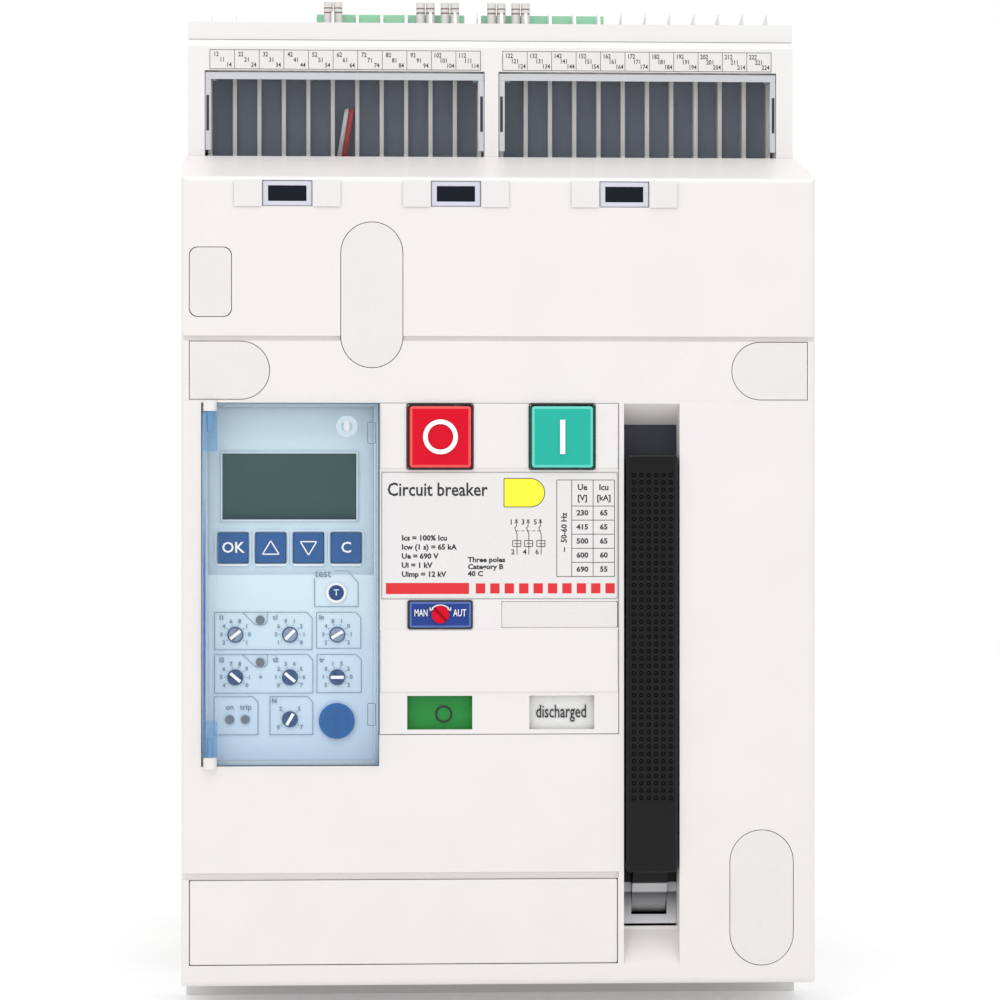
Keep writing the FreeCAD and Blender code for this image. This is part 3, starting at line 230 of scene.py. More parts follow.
def cover_plastic():
    """Off-white cover: smooth panels with a leather-grained strip between the two grooves."""
    colour = (0.745, 0.722, 0.712)
    finish = moulded("cover_plastic", colour, 0.42, coat_weight=0.06)
    strip = finish.between("Z", 253.0, 277.7)
    fine = finish.noise(2600.0, 2.0)
    grained = leather_grain(finish, strip)
    finish.bump(fine * 0.22 + grained * 1.5, 0.00009)
    return finish


def blank_plastic():
    colour = (0.715, 0.695, 0.685)
    finish = moulded("blank_plastic", colour, 0.5)
    finish.bump(leather_grain(finish), 0.00014)
    return finish


def brushed(name, colour, roughness=0.32, stretch=(1, 30, 30), scratch=0.00002, blotch=0.08):
    """Rolled or machined metal with drawn lines and cloudy tarnish."""
    finish = Finish(name, colour, roughness, metallic=1.0)
    lines = finish.noise(160.0, 5.0, stretch)
    clouds = finish.noise(22.0, 4.0)
    finish.set("Base Color", finish.mix(clouds, shade(colour, 1 - blotch), shade(colour, 1 + blotch)))
    finish.set("Roughness", lines * 0.22 + clouds * 0.12 + (roughness - 0.14))
    finish.bump(lines, scratch)
    return finish


def copper(name="plated_copper"):
    """Silver-plated copper bars, with warm copper showing through along the handled faces."""
    finish = brushed(name, (0.80, 0.55, 0.42), 0.34, (30, 1, 30), 0.00002, 0.05)
    worn = finish.noise(30.0, 6.0)
    stops = [(0.42, (0.80, 0.46, 0.30, 1)), (0.62, (0.80, 0.76, 0.72, 1))]
    finish.set("Base Color", finish.node("ShaderNodeValToRGB", {"stops": stops}, {"Fac": worn}))
    return finish


def resin(name, colour, roughness=0.55):
    """Glass-filled thermoset: speckled with short pale fibres."""
    finish = Finish(name, colour, roughness)
    fibres = finish.noise(700.0, 6.0, (1, 1, 3))
    cloud = finish.noise(25.0, 3.0)
    stops = [(0.55, (0, 0, 0, 1)), (0.75, (1, 1, 1, 1))]
    ramp = finish.node("ShaderNodeValToRGB", {"stops": stops}, {"Fac": fibres})
    finish.set("Base Color", finish.mix(ramp, shade(colour, 0.95), shade(colour, 1.7)))
    finish.set("Roughness", cloud * 0.2 + (roughness - 0.1))
    finish.bump(fibres, 0.00005)
    return finish


def clear_lid():
    """Clear light-blue lid, denser where the light runs down its edge walls."""
    finish = Finish("clear_blue_lid", (0.42, 0.64, 0.86), 0.08, specular_ior_level=0.15)
    x, _, z = limits("unit_cover")
    tray = x[0] + 6.0
    left = finish.between("X", tray, tray + 0.5) * 0.3
    edges = left + finish.between("X", x[1] - 0.6, x[1] + 1)
    ends = finish.between("Z", z[0], z[0] + 0.6) + finish.between("Z", z[1] - 0.6, z[1])
    cloud = finish.noise(18.0, 2.0)
    roll = finish.between("X", x[0] - 1.0, tray - 0.1)
    knuckles = roll * (finish.between("Z", 106.0, 121.0) + finish.between("Z", 232.0, 249.0))
    rim = (edges + ends * 0.6 + knuckles).math("MINIMUM", 1.0)
    finish.set("Base Color", finish.mix(rim, (0.50, 0.70, 0.86), (0.12, 0.34, 0.62)))
    finish.set("Alpha", cloud * 0.02 + rim * 0.24 + 0.02)
    finish.set("Roughness", cloud * 0.05 + 0.05)
    return finish


def smoked_clear():
    finish = Finish("smoked_clear", (0.10, 0.115, 0.14), 0.1, specular_ior_level=0.2)
    cloud = finish.noise(30.0, 3.0)
    finish.set("Alpha", cloud * 0.04 + 0.10)
    finish.set("Roughness", cloud * 0.08 + 0.06)
    return finish


def display_face():
    """Unlit liquid-crystal display: grey-green, with painted shade darkening it along its lower edge."""
    finish = Finish("display_face", (0.032, 0.068, 0.052), 0.25, specular_ior_level=0.1)
    low, high = limits("unit_display")[2]
    rise = (finish.axis("Z") - low * MM) * (1.0 / size(high - low))
    # painted shade: the first stops darken a strip along the lower edge
    stops = [(0.02, (0.018, 0.032, 0.035, 1)), (0.14, (0.030, 0.066, 0.052, 1)),
             (1.0, (0.033, 0.070, 0.055, 1))]
    finish.set("Base Color", finish.node("ShaderNodeValToRGB", {"stops": stops}, {"Fac": rise}))
    return finish


def dark_glass():
    finish = Finish("dark_glass", (0.003, 0.006, 0.012), 0.12, specular_ior_level=0.15)
    smudge = finish.noise(60.0, 3.0)
    finish.set("Roughness", smudge * 0.1 + 0.05)
    return finish


def flag_face(name, lower, upper, split):
    """Indicator flag with its two painted fields."""
    finish = Finish(name, lower, 0.5)
    high = finish.axis("Z") > split * MM
    grain = finish.noise(1200.0, 2.0)
    finish.set("Base Color", finish.mix(high, lower, upper))
    finish.set("Roughness", grain * 0.12 + 0.42)
    finish.bump(grain, 0.00001)
    return finish


def unit_plastic():
    """Protection unit: pale blue, with painted shading by height: darker towards the lower edge and lightest
    just below the step in its face.
    """
    finish = moulded("unit_plastic", (0.56, 0.71, 0.80), 0.5)
    low, high = limits("protection_unit")[2]
    rise = (finish.axis("Z") - low * MM) * (1.0 / size(high - low))
    # painted shade at the foot, painted light band just below the step of the face
    stops = [(0.0, (0.50, 0.64, 0.80, 1)), (0.35, (0.56, 0.71, 0.81, 1)), (0.52, (0.63, 0.76, 0.82, 1)),
             (0.53, (0.56, 0.70, 0.79, 1)), (1.0, (0.58, 0.72, 0.80, 1))]
    finish.set("Base Color", finish.node("ShaderNodeValToRGB", {"stops": stops}, {"Fac": rise}))
    return finish


def hub_finish():
    """Handle hub and the strips beside it, with painted shade by height: a foot that darkens upward, a light
    band, and near-black above where the well lies in shadow.
    """
    finish = moulded("hub_finish", (0.4, 0.4, 0.41), 0.4, specular_ior_level=0.2)
    height = (finish.axis("Z") - size(30)) * (1.0 / size(30))
    # painted shade: light at the foot fading to dark, a light band, then near-black shade above
    stops = [(0.20, 0.62), (0.60, 0.09), (0.62, 0.50), (0.73, 0.50), (0.75, 0.006), (1.0, 0.006)]
    tints = [(at, (v, v, v * 1.04, 1)) for at, v in stops]
    finish.set("Base Color", finish.node("ShaderNodeValToRGB", {"stops": tints}, {"Fac": height}))
    return finish


def rimmed(name, colour, rim, centre, half, band=1.1):
    """Square moulding with a painted highlight, a lighter colour along its rounded rim."""
    finish = moulded(name, colour, 0.3, 0.00002, 0.04, specular_ior_level=0.12)
    x, z = centre
    across = finish.between("X", x - half[0] + band, x + half[0] - band)
    middle = across * finish.between("Z", z - half[1] + band, z + half[1] - band)
    grain = finish.noise(60.0)
    # painted highlight: the rim colour outside the middle
    finish.set("Base Color", finish.mix(middle * 0.94 + grain * 0.06, rim, colour))
    return finish


def screw_finish():
    """Zinc-plated bolts and the pale heads of the terminal screws, with painted shade in their slots."""
    finish = brushed("screw_steel", (0.60, 0.58, 0.56), 0.42)
    finish.set("Metallic", 0.25)
    # painted shade: two dark bands across the heads where the slots lie
    slots = finish.between("Z", 422.6, 423.3) + finish.between("Z", 424.6, 425.2)
    finish.set("Base Color", finish.mix(slots, (0.66, 0.64, 0.63), (0.22, 0.16, 0.13)))
    return finish


def lid_bead():
    """Denser mouldings of the lid, seen as pale blue."""
    finish = Finish("lid_bead", (0.70, 0.82, 0.90), 0.2, specular_ior_level=0.2)
    finish.set("Alpha", finish.noise(30.0) * 0.06 + 0.42)
    return finish


def lid_edge():
    """The lid's left edge, where the light piped through the plastic comes out."""
    finish = Finish("lid_edge", (0.06, 0.20, 0.52), 0.2, specular_ior_level=0.2)
    low, high = limits("unit_cover")[2]
    rise = (finish.axis("Z") - low * MM) * (1.0 / size(high - low))
    stops = [(0.0, (0.10, 0.30, 0.55, 1)), (0.25, (0.02, 0.10, 0.45, 1)),
             (0.55, (0.03, 0.14, 0.50, 1)), (0.75, (0.25, 0.52, 0.80, 1))]
    finish.set("Base Color", finish.node("ShaderNodeValToRGB", {"stops": stops}, {"Fac": rise}))
    finish.set("Alpha", finish.noise(40.0) * 0.2 + 0.6)
    return finish


def wire_sheath(name, colour):
    return moulded(name, colour, 0.35, 0.00002, 0.06)


FINISHES = {
    "cover": cover_plastic(),
    "blank": blank_plastic(),
    "frame_lilac": moulded("window_frame_plastic", (0.60, 0.60, 0.69), 0.3),
    "dark_glass": dark_glass(),
    "plate": moulded("plate_film", (0.72, 0.705, 0.70), 0.3, 0.00001, 0.015, coat_weight=0.3),
    "red": rimmed("red_plastic", (0.64, 0.0, 0.018), (0.80, 0.10, 0.10), (OFF_X, BUTTON_Z), (12.7, 12.7)),
    "green": rimmed("green_plastic", (0.018, 0.42, 0.33), (0.14, 0.62, 0.52), (ON_X, BUTTON_Z), (12.7, 12.7)),
    "blue": rimmed("blue_plastic", (0.020, 0.050, 0.24), (0.10, 0.16, 0.42), (OFF_X, SELECTOR_Z),
                   (12.7, 5.3), 0.8),
    "knob": moulded("knob_red", (0.62, 0.0, 0.018), 0.35, 0.00002, 0.06, specular_ior_level=0.15),
    "key": moulded("key_plastic", (0.012, 0.080, 0.27), 0.45, 0.00004, 0.08, specular_ior_level=0.2),
    "dial_grey": moulded("dial_plastic_grey", (0.22, 0.27, 0.38), 0.4, 0.00003, 0.08, specular_ior_level=0.2),
    "dial": moulded("dial_plastic", (0.030, 0.065, 0.17), 0.4, 0.00003, 0.08, specular_ior_level=0.2),
    "cap": moulded("cap_plastic", (0.008, 0.100, 0.33), 0.4, 0.00003, 0.05, specular_ior_level=0.15),
    "cap_ink": moulded("cap_ink", (0.012, 0.070, 0.24), 0.4, 0.000004, 0.05),
    "test": moulded("test_plastic", (0.004, 0.030, 0.16), 0.4, 0.00003, 0.05, specular_ior_level=0.15),
    "lid_bead": lid_bead(),
    "lid_edge": lid_edge(),
    "dial_dark": moulded("dial_ring_plastic", (0.035, 0.075, 0.15), 0.4, 0.00003, 0.08,
                         specular_ior_level=0.2),
    "hinge": moulded("hinge_plastic", (0.30, 0.46, 0.62), 0.4, 0.00002, 0.06, specular_ior_level=0.3),
    "bezel": moulded("bezel_plastic", (0.58, 0.68, 0.76), 0.5, 0.00003, 0.03),
    "led": moulded("led_lens", (0.15, 0.175, 0.20), 0.2, 0.00001, 0.05, specular_ior_level=0.3),
    "black": moulded("handle_plastic", (0.003, 0.003, 0.004), 0.16, 0.000004, 0.1, specular_ior_level=0.22),
    "hub": hub_finish(),
    "slate": moulded("liner_plastic", (0.034, 0.038, 0.052), 0.45, 0.00005, 0.1, specular_ior_level=0.3),
    "zinc": brushed("zinc_steel", (0.66, 0.65, 0.62), 0.36, (1, 1, 20), 0.00002, 0.10),
    "steel": brushed("gear_steel", (0.42, 0.42, 0.43), 0.30),
    "spring": brushed("spring_steel", (0.22, 0.22, 0.23), 0.35),
    "copper": copper(),
    "braid": copper("copper_braid"),
    "unit": unit_plastic(),
    "display": display_face(),
    "lid": clear_lid(),
    "smoked": smoked_clear(),
    "terminal": moulded("terminal_plastic", (0.755, 0.740, 0.732), 0.42, 0.00005, 0.02),
    "connector": moulded("connector_green", (0.30, 0.62, 0.41), 0.4, 0.00003, 0.1),
    "contact": moulded("contact_block_plastic", (0.155, 0.180, 0.220), 0.5, 0.00001, 0.06,
                       specular_ior_level=0.2),
    "screw": screw_finish(),
    "flap_rim": moulded("flap_rim_plastic", (0.53, 0.54, 0.565), 0.42, 0.00003, 0.03),
    "paint": moulded("chassis_paint", (0.74, 0.735, 0.73), 0.4, 0.00006, 0.02, coat_weight=0.15),
    "resin": resin("housing_resin", (0.050, 0.053, 0.060)),
    "coil": resin("coil_resin", (0.02, 0.02, 0.025), 0.45),
    "chute": resin("chute_plastic", (0.34, 0.17, 0.08), 0.6),
    "ink": moulded("black_ink", (0.015, 0.015, 0.018), 0.5, 0.000004, 0.1),
    "white_ink": moulded("white_ink", (0.86, 0.88, 0.90), 0.5, 0.000004, 0.02),
    "grey_ink": moulded("grey_ink", (0.14, 0.19, 0.27), 0.5, 0.000004, 0.05),
    "pale_ink": moulded("pale_ink", (0.62, 0.76, 0.88), 0.5, 0.000004, 0.03),
    "line_ink": moulded("line_ink", (0.42, 0.41, 0.42), 0.5, 0.000004, 0.05),
    "red_ink": moulded("red_ink", (0.68, 0.01, 0.02), 0.45, 0.000004, 0.05),
    "yellow_ink": moulded("yellow_ink", (0.92, 0.86, 0.03), 0.4, 0.000004, 0.03),
    "red_wire": wire_sheath("red_wire_sheath", (0.55, 0.02, 0.02)),
    "white_wire": wire_sheath("white_wire_sheath", (0.75, 0.72, 0.70)),
    "contact_flag": flag_face("contact_flag_face", (0.0, 0.26, 0.028), (0.62, 0.01, 0.02), 131.6),
    "charge_flag": flag_face("charge_flag_face", (0.88, 0.88, 0.87), (0.85, 0.70, 0.02), 131.6),
}


# ------------------------------------------------------------------ mesh tools
def piece(name, bm, finish, body=BREAKER, replaces=(), smooth=40.0):
    """Turns a bmesh into a finished piece that rides on a CAD body."""
    bmesh.ops.recalc_face_normals(bm, faces=bm.faces)
    mesh = bpy.data.meshes.new(name)
    bm.to_mesh(mesh)
    bm.free()
    made = bpy.data.objects.new(name, mesh)
    bpy.context.scene.collection.objects.link(made)
    mesh.materials.append(FINISHES[finish].material)
    mesh.shade_smooth()
    mesh.set_sharp_from_angle(angle=math.radians(smooth))
    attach(made, body)
    if replaces:
        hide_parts(*replaces)
    return made


def add_block(bm, x, depth, z, bevel=0.0, segments=2):
    """Adds a block between pairs of limits, its edges rounded."""
    made = bmesh.ops.create_cube(bm, size=1.0)
    spans = (x, depth, z)
    scale = Vector([s[1] - s[0] for s in spans]) * MM
    middle = point(*[(s[0] + s[1]) / 2 for s in spans])
    bmesh.ops.scale(bm, vec=scale, verts=made["verts"])
    bmesh.ops.translate(bm, vec=middle, verts=made["verts"])
    if bevel:
        edges = {e for v in made["verts"] for e in v.link_edges}
        bmesh.ops.bevel(
            bm, geom=list(edges), offset=size(bevel), segments=segments, affect="EDGES", profile=0.5,
            material=-1
        )


def add_ring(bm, x, z, depth, outer, inner, turns=40):
    """Adds a flat ring that faces the front."""
    corner = [bm.verts.new(point(x + r, d, z)) for r, d in
              ((inner, depth[0]), (outer, depth[0]), (outer, depth[1]), (inner, depth[1]))]
    face = bm.faces.new(corner)
    bmesh.ops.spin(
        bm, geom=[face, *face.edges, *corner], cent=point(x, 0, z), axis=(0, 1, 0),
        angle=2 * math.pi, steps=turns, use_merge=True
    )


def add_stroke(bm, start, end, width, depth):
    """Adds a printed line from one (x, z) to another."""
    run = Vector((end[0] - start[0], 0, end[1] - start[1]))
    made = bmesh.ops.create_cube(bm, size=1.0)
    bmesh.ops.scale(bm, vec=Vector((run.length, 0.04, width)) * MM, verts=made["verts"])
    turn = Matrix.Rotation(-math.atan2(run.z, run.x), 4, "Y")
    place = Matrix.Translation(point((start[0] + end[0]) / 2, depth, (start[1] + end[1]) / 2))
    bmesh.ops.transform(bm, matrix=place @ turn, verts=made["verts"])


def add_path(bm, corners, width, depth):
    for start, end in zip(corners, corners[1:]):
        add_stroke(bm, start, end, width, depth)


def add_text(bm, words, x, z, height, depth, align="CENTER", weight=0.0, squeeze=1.0, turn=0.0):
    """Adds raised lettering whose middle line is at z."""
    curve = bpy.data.curves.new("words", "FONT")
    curve.body = words
    curve.size = size(height) * 1.38
    curve.extrude = size(0.02)
    curve.offset = size(weight)
    curve.align_x = align
    curve.align_y = "CENTER"
    curve.resolution_u = 2
    holder = bpy.data.objects.new("words", curve)
    mesh = bpy.data.meshes.new_from_object(holder)
    upright = Matrix.Rotation(math.radians(90), 4, "X")
    narrow = Matrix.Diagonal((squeeze, 1, 1, 1))
    swing = Matrix.Rotation(math.radians(turn), 4, "Y")
    mesh.transform(Matrix.Translation(point(x, depth, z)) @ swing @ upright @ narrow)
    bm.from_mesh(mesh)
    bpy.data.objects.remove(holder)
    bpy.data.curves.remove(curve)
    bpy.data.meshes.remove(mesh)


def refined(node, finish, bevel, name=None, angle=30.0, segments=2):
    """A copy of a CAD node with its seams merged and its sharp edges eased, which stands for the node."""
    source = frame["nodes"][node]
    bm = bmesh.new()
    bm.from_mesh(source.data)
    bmesh.ops.remove_doubles(bm, verts=bm.verts, dist=1e-6)
    bmesh.ops.dissolve_limit(bm, angle_limit=math.radians(0.5), verts=bm.verts, edges=bm.edges)
    made = piece(name or node + "_finished", bm, finish, source["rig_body"], (node,))
    ease = made.modifiers.new("eased_edges", "BEVEL")
    ease.width = size(bevel)
    ease.segments = segments
    ease.limit_method = "ANGLE"
    ease.angle_limit = math.radians(angle)
    ease.harden_normals = False
    ease.use_clamp_overlap = True
    return made


def dress(node, finish):
    """Gives a CAD node that is shown as it is its finish."""
    slots = frame["nodes"][node].data.materials
    slots.clear()
    slots.append(FINISHES[finish].material)


# ------------------------------------------------------------------ cover
def accessory_windows():
    """Dark panes and their pale label strips along the top of the cover."""
    panes = bmesh.new()
    labels = bmesh.new()
    for x in (-87.8, -18.1, 51.8):
        add_block(panes, (x - 7.8, x + 7.8), (1.6, 3.0), (335.6, 341.8), 0.15)
        for side in (-1, 1):
            inner = x + side * 10.6
            outer = x + side * 22.0
            add_block(labels, sorted((inner, outer)), (-0.08, 0.02), (333.2, 344.0), 0.03, 1)
    piece("accessory_panes", panes, "dark_glass")
    piece("accessory_labels", labels, "plate")


def cover_pieces():
    dress("front_cover", "cover")
    dress("control_panel", "cover")
    dress("lower_flap", "cover")
    dress("blank_plugs", "blank")
    dress("accessory_blank", "blank")
    refined("accessory_window_frames", "frame_lilac", 0.15)
    accessory_windows()


# ------------------------------------------------------------------ control panel
def ease_front(node, finish, width):
    """A copy of a CAD node whose front outline is rounded, which stands for the node."""
    source = frame["nodes"][node]
    bm = bmesh.new()
    bm.from_mesh(source.data)
    bmesh.ops.remove_doubles(bm, verts=bm.verts, dist=1e-6)
    bmesh.ops.dissolve_limit(bm, angle_limit=math.radians(0.5), verts=bm.verts, edges=bm.edges)
    front = min(v.co.y for v in bm.verts) + size(0.02)
    rim = [e for e in bm.edges if max(v.co.y for v in e.verts) < front and e.calc_face_angle(0) > 0.5]
    bmesh.ops.bevel(bm, geom=rim, offset=size(width), segments=4, affect="EDGES", profile=0.5, material=-1)
    return piece(node + "_finished", bm, finish, source["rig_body"], (node,))


def buttons():
    ease_front("off_button", "red", 1.1)
    ease_front("on_button", "green", 1.1)
    # black lines round each button and the selector pocket: the gaps round them, with painted shadow of the
    # pocket walls
    gap_shadow_lines = bmesh.new()
    for x in (OFF_X, ON_X):
        add_path(gap_shadow_lines, rounded_outline((x - 13.8, x + 13.5), (224.7, 251.7), 0.6), 0.6, -0.5 - PRINT)
    pocket = rounded_outline((OFF_X - 13.3, OFF_X + 13.1), (SELECTOR_Z - 5.7, SELECTOR_Z + 5.7), 0.5)
    add_path(gap_shadow_lines, pocket, 0.7, -PRINT)
    piece("pocket_gap_shadows", gap_shadow_lines, "ink")
    mark = bmesh.new()
    add_ring(mark, OFF_X, BUTTON_Z, (-1.62, -1.3), 7.2, 5.3)
    piece("off_ring", mark, "white_ink", "off_button")
    bar = bmesh.new()
    add_block(bar, (24.9, 27.1), (-1.62, -1.3), (231.0, 245.2), 0.1)
    piece("on_bar", bar, "white_ink", "on_button")


def selector():
    dress("selector_block", "blue")
    dress("selector_knob", "knob")
    words = bmesh.new()
    add_text(words, "MAN", -32.6, 165.2, 3.0, -0.5 - PRINT, weight=0.03, squeeze=0.62)
    add_text(words, "AUT", -16.6, 165.2, 3.0, -0.5 - PRINT, weight=0.03, squeeze=0.66)
    sweep = []
    for degrees in range(45, 136, 10):
        a = math.radians(degrees)
        sweep.append((OFF_X + 5.0 * math.cos(a), 163.6 + 5.0 * math.sin(a)))
    add_path(words, sweep, 0.45, -0.5 - PRINT)
    for side in (-1, 1):
        tip = (OFF_X + side * 4.2, 166.2)
        add_stroke(words, tip, (tip[0] + side * 0.1, tip[1] + 1.4), 0.4, -0.5 - PRINT)
        add_stroke(words, tip, (tip[0] - side * 1.3, tip[1] + 0.9), 0.4, -0.5 - PRINT)
    piece("selector_print", words, "white_ink")


def flags():
    dress("position_flag", "contact_flag")
    dress("spring_flag", "charge_flag")
    depth = 4.6 - PRINT
    marks = bmesh.new()
    add_ring(marks, -23.0, 123.2, (depth, depth + 0.02), 3.6, 2.8)
    add_block(marks, (-23.5, -22.5), (depth, depth + 0.02), (136.6, 143.0))
    piece("contact_flag_marks", marks, "ink", "contact_flag")
    words = bmesh.new()
    add_text(words, "discharged", 25.8, 124.0, 5.6, depth, squeeze=0.64, weight=0.05)
    add_text(words, "charged", 25.8, 140.0, 5.6, depth, squeeze=0.64, weight=0.05)
    piece("charge_flag_words", words, "ink", "charge_flag")


def pole_diagram(bm, depth):
    """One-line diagram of three poles with linked contacts and releases."""
    line = 0.3
    for i, x in enumerate((6.9, 11.8, 16.9)):
        for way in (90, 45, 135):
            a = math.radians(way)
            ends = [(x + r * math.cos(a), 203.2 + r * math.sin(a)) for r in (-1.0, 1.0)]
            add_stroke(bm, *ends, 0.25, depth)
        contact = [(x, 203.2), (x, 201.0), (x - 0.7, 200.6), (x + 0.3, 197.9), (x + 0.3, 189.4)]
        release = [(x - 1.5, 195.2), (x + 1.9, 195.2), (x + 1.9, 192.7), (x - 1.5, 192.7), (x - 1.5, 195.2)]
        add_path(bm, contact, line, depth)
        add_path(bm, release, line, depth)
        add_stroke(bm, (x - 0.7, 193.9), (x + 1.9, 193.9), 0.25, depth)
        add_text(bm, str(2 * i + 1), x - 2.1, 202.8, 2.2, depth, weight=0.05)
        add_text(bm, str(2 * i + 2), x - 1.4, 190.4, 2.2, depth, weight=0.05)
    for i in range(5):
        add_stroke(bm, (6.8 + 2.2 * i, 199.2), (8.1 + 2.2 * i, 199.2), 0.25, depth)


def rating_table(bm, depth):
    columns = (23.7, 29.9, 38.8, 47.7)
    rows = [220.3, 209.5] + [209.5 - 5.84 * i for i in range(1, 6)]
    for x in columns:
        add_stroke(bm, (x, rows[0]), (x, rows[-1]), 0.25, depth)
    for z in rows:
        start = columns[0] if z in (rows[0], rows[-1]) else columns[1]
        add_stroke(bm, (start, z), (columns[-1], z), 0.25, depth)
    middles = [(a + b) / 2 for a, b in zip(columns[1:], columns[2:])]
    for x, (top, unit) in zip(middles, (("Ue", "[V]"), ("Icu", "[kA]"))):
        add_text(bm, top, x, 217.2, 2.5, depth, weight=0.09)
        add_text(bm, unit, x, 212.8, 2.4, depth, weight=0.08)
    values = ((230, 65), (415, 65), (500, 65), (600, 60), (690, 55))
    for i, pair in enumerate(values):
        for x, number in zip(middles, pair):
            add_text(bm, str(number), x, rows[1] - 5.84 * (i + 0.5), 2.2, depth, weight=0.10, squeeze=1.08)
    add_text(bm, "~  50-60 Hz", 26.8, 198.6, 2.4, depth, weight=0.08, turn=-90)


def plate_print():
    depth = limits("rating_plate")[1][0] - PRINT
    black = bmesh.new()
    add_text(black, "Circuit breaker", -46.6, 216.1, 5.6, depth, "LEFT", 0.12, 0.86)
    lines = ("Ics = 100% Icu", "Icw (1 s) = 65 kA", "Ue = 690 V", "Ui = 1 kV", "Uimp = 12 kV")
    for i, words in enumerate(lines):
        add_text(black, words, -40.6, 196.2 - 3.75 * i, 2.2, depth, "LEFT", 0.11, 1.06)
    for i, words in enumerate(("Three poles", "Category B", "40 C")):
        add_text(black, words, -13.2, 187.2 - 2.9 * i, 2.1, depth, "LEFT", 0.10, 1.1)
    pole_diagram(black, depth)
    rating_table(black, depth)
    tab = [(1.8, 220.9), (1.8, 209.1)]
    for degrees in range(-90, 91, 15):
        a = math.radians(degrees)
        tab.append((12.8 + 5.9 * math.cos(a), 215.0 + 5.9 * math.sin(a)))
    tab.append(tab[0])
    add_path(black, tab, 0.3, depth)
    piece("plate_print", black, "ink")
    border = bmesh.new()
    x, _, z = limits("rating_plate")
    add_path(border, rounded_outline((x[0] + 0.2, x[1] - 0.2), (z[0] + 0.2, z[1] - 0.2), 0.8), 0.35, depth)
    piece("plate_border", border, "line_ink")
    yellow = bmesh.new()
    outline = [yellow.verts.new(point(x, depth + 0.012, z)) for x, z in tab[:-1]]
    yellow.faces.new(outline)
    piece("plate_tab", yellow, "yellow_ink")
    red = bmesh.new()
    add_block(red, (-47.1, -12.7), (depth, depth + 0.02), (173.1, 177.7))
    for i in range(10):
        x = -9.9 + 5.98 * i
        add_block(red, (x, x + 3.9), (depth, depth + 0.02), (173.3, 177.5))
    piece("plate_stripe", red, "red_ink")
    dress("rating_plate", "plate")


def control_pieces():
    buttons()
    selector()
    flags()
    plate_print()


# ------------------------------------------------------------------ protection unit
UPPER_FACE = 12.0
LOWER_FACE = 9.0


def key_marks():
    depth = UPPER_FACE - 1.5 - PRINT
    columns = [-110.3 + 15.65 * i for i in range(4)]
    z = 192.1
    for name, words, x in (("enter_key", "OK", columns[0]), ("cancel_key", "C", columns[3])):
        bm = bmesh.new()
        add_text(bm, words, x, z, 4.6, depth, weight=0.1)
        piece(name + "_mark", bm, "white_ink", name)
    for name, x, way in (("up_key", columns[1], 1), ("down_key", columns[2], -1)):
        bm = bmesh.new()
        corners = [(x - 3.4, z - way * 2.6), (x, z + way * 3.0), (x + 3.4, z - way * 2.6)]
        corners.append(corners[0])
        add_path(bm, corners, 0.5, depth)
        piece(name + "_mark", bm, "white_ink", name)
    # painted highlight: pale rings on the rounded rims round the key holes
    rim_highlights = bmesh.new()
    for x in columns:
        add_path(rim_highlights, rounded_outline((x - 7.3, x + 7.3), (z - 7.3, z + 7.3), 2.2), 0.6, UPPER_FACE - PRINT)
    piece("key_rim_highlights", rim_highlights, "pale_ink")
    # painted highlight: white lines on the lit lower ledge of each key hole
    ledge_highlights = bmesh.new()
    for x in columns:
        add_stroke(ledge_highlights, (x - 6.0, z - 7.1), (x + 6.0, z - 7.1), 0.9, UPPER_FACE - 2 * PRINT)
    piece("key_ledge_highlights", ledge_highlights, "white_ink")


def rounded_outline(x, z, r):
    """Closed (x, z) outline of a rectangle with round corners."""
    outline = []
    left, right, low, high = x[0] + r, x[1] - r, z[0] + r, z[1] - r
    for cx, cz, start in ((right, high, 0), (left, high, 90), (left, low, 180), (right, low, 270)):
        for step in range(5):
            a = math.radians(start + 22.5 * step)
            outline.append((cx + r * math.cos(a), cz + r * math.sin(a)))
    return outline + outline[:1]


DIALS = [(x, z) for z in (156.1, 138.4) for x in (-109.3, -86.7, -67.1)] + [(-86.7, 121.0)]
DIAL_SCALES = ("23468101", "13691218", "23481012", "45678910", "01234567", "51015202", "0257")
LAMPS = ((-99.0, 162.2), (-99.0, 144.7), (-111.6, 121.0), (-105.2, 121.0))


def group_frame(bm, x, z, depth, chamfer=2.2, lamp=None):
    """Printed outline with a cut corner at top right and, if asked, a pocket that holds a lamp."""
    outline = [(x[1], z[1] - chamfer), (x[1], z[0]), (x[0], z[0]), (x[0], z[1])]
    if lamp:
        across, low = lamp[0], lamp[1] - 2.0
        pocket = [(across - 7.3, z[1]), (across - 2.6, low + 0.6), (across - 1.5, low), (across + 0.9, low)]
        for a in (0.5, 1.0, 1.57):
            pocket.append((across + 0.9 + 2.0 * math.sin(a), low + 2.0 - 2.0 * math.cos(a)))
        add_path(bm, pocket + [(across + 2.9, z[1])], 0.25, depth)
    outline += [(x[1] - chamfer, z[1]), (x[1], z[1] - chamfer)]
    add_path(bm, outline, 0.26, depth)


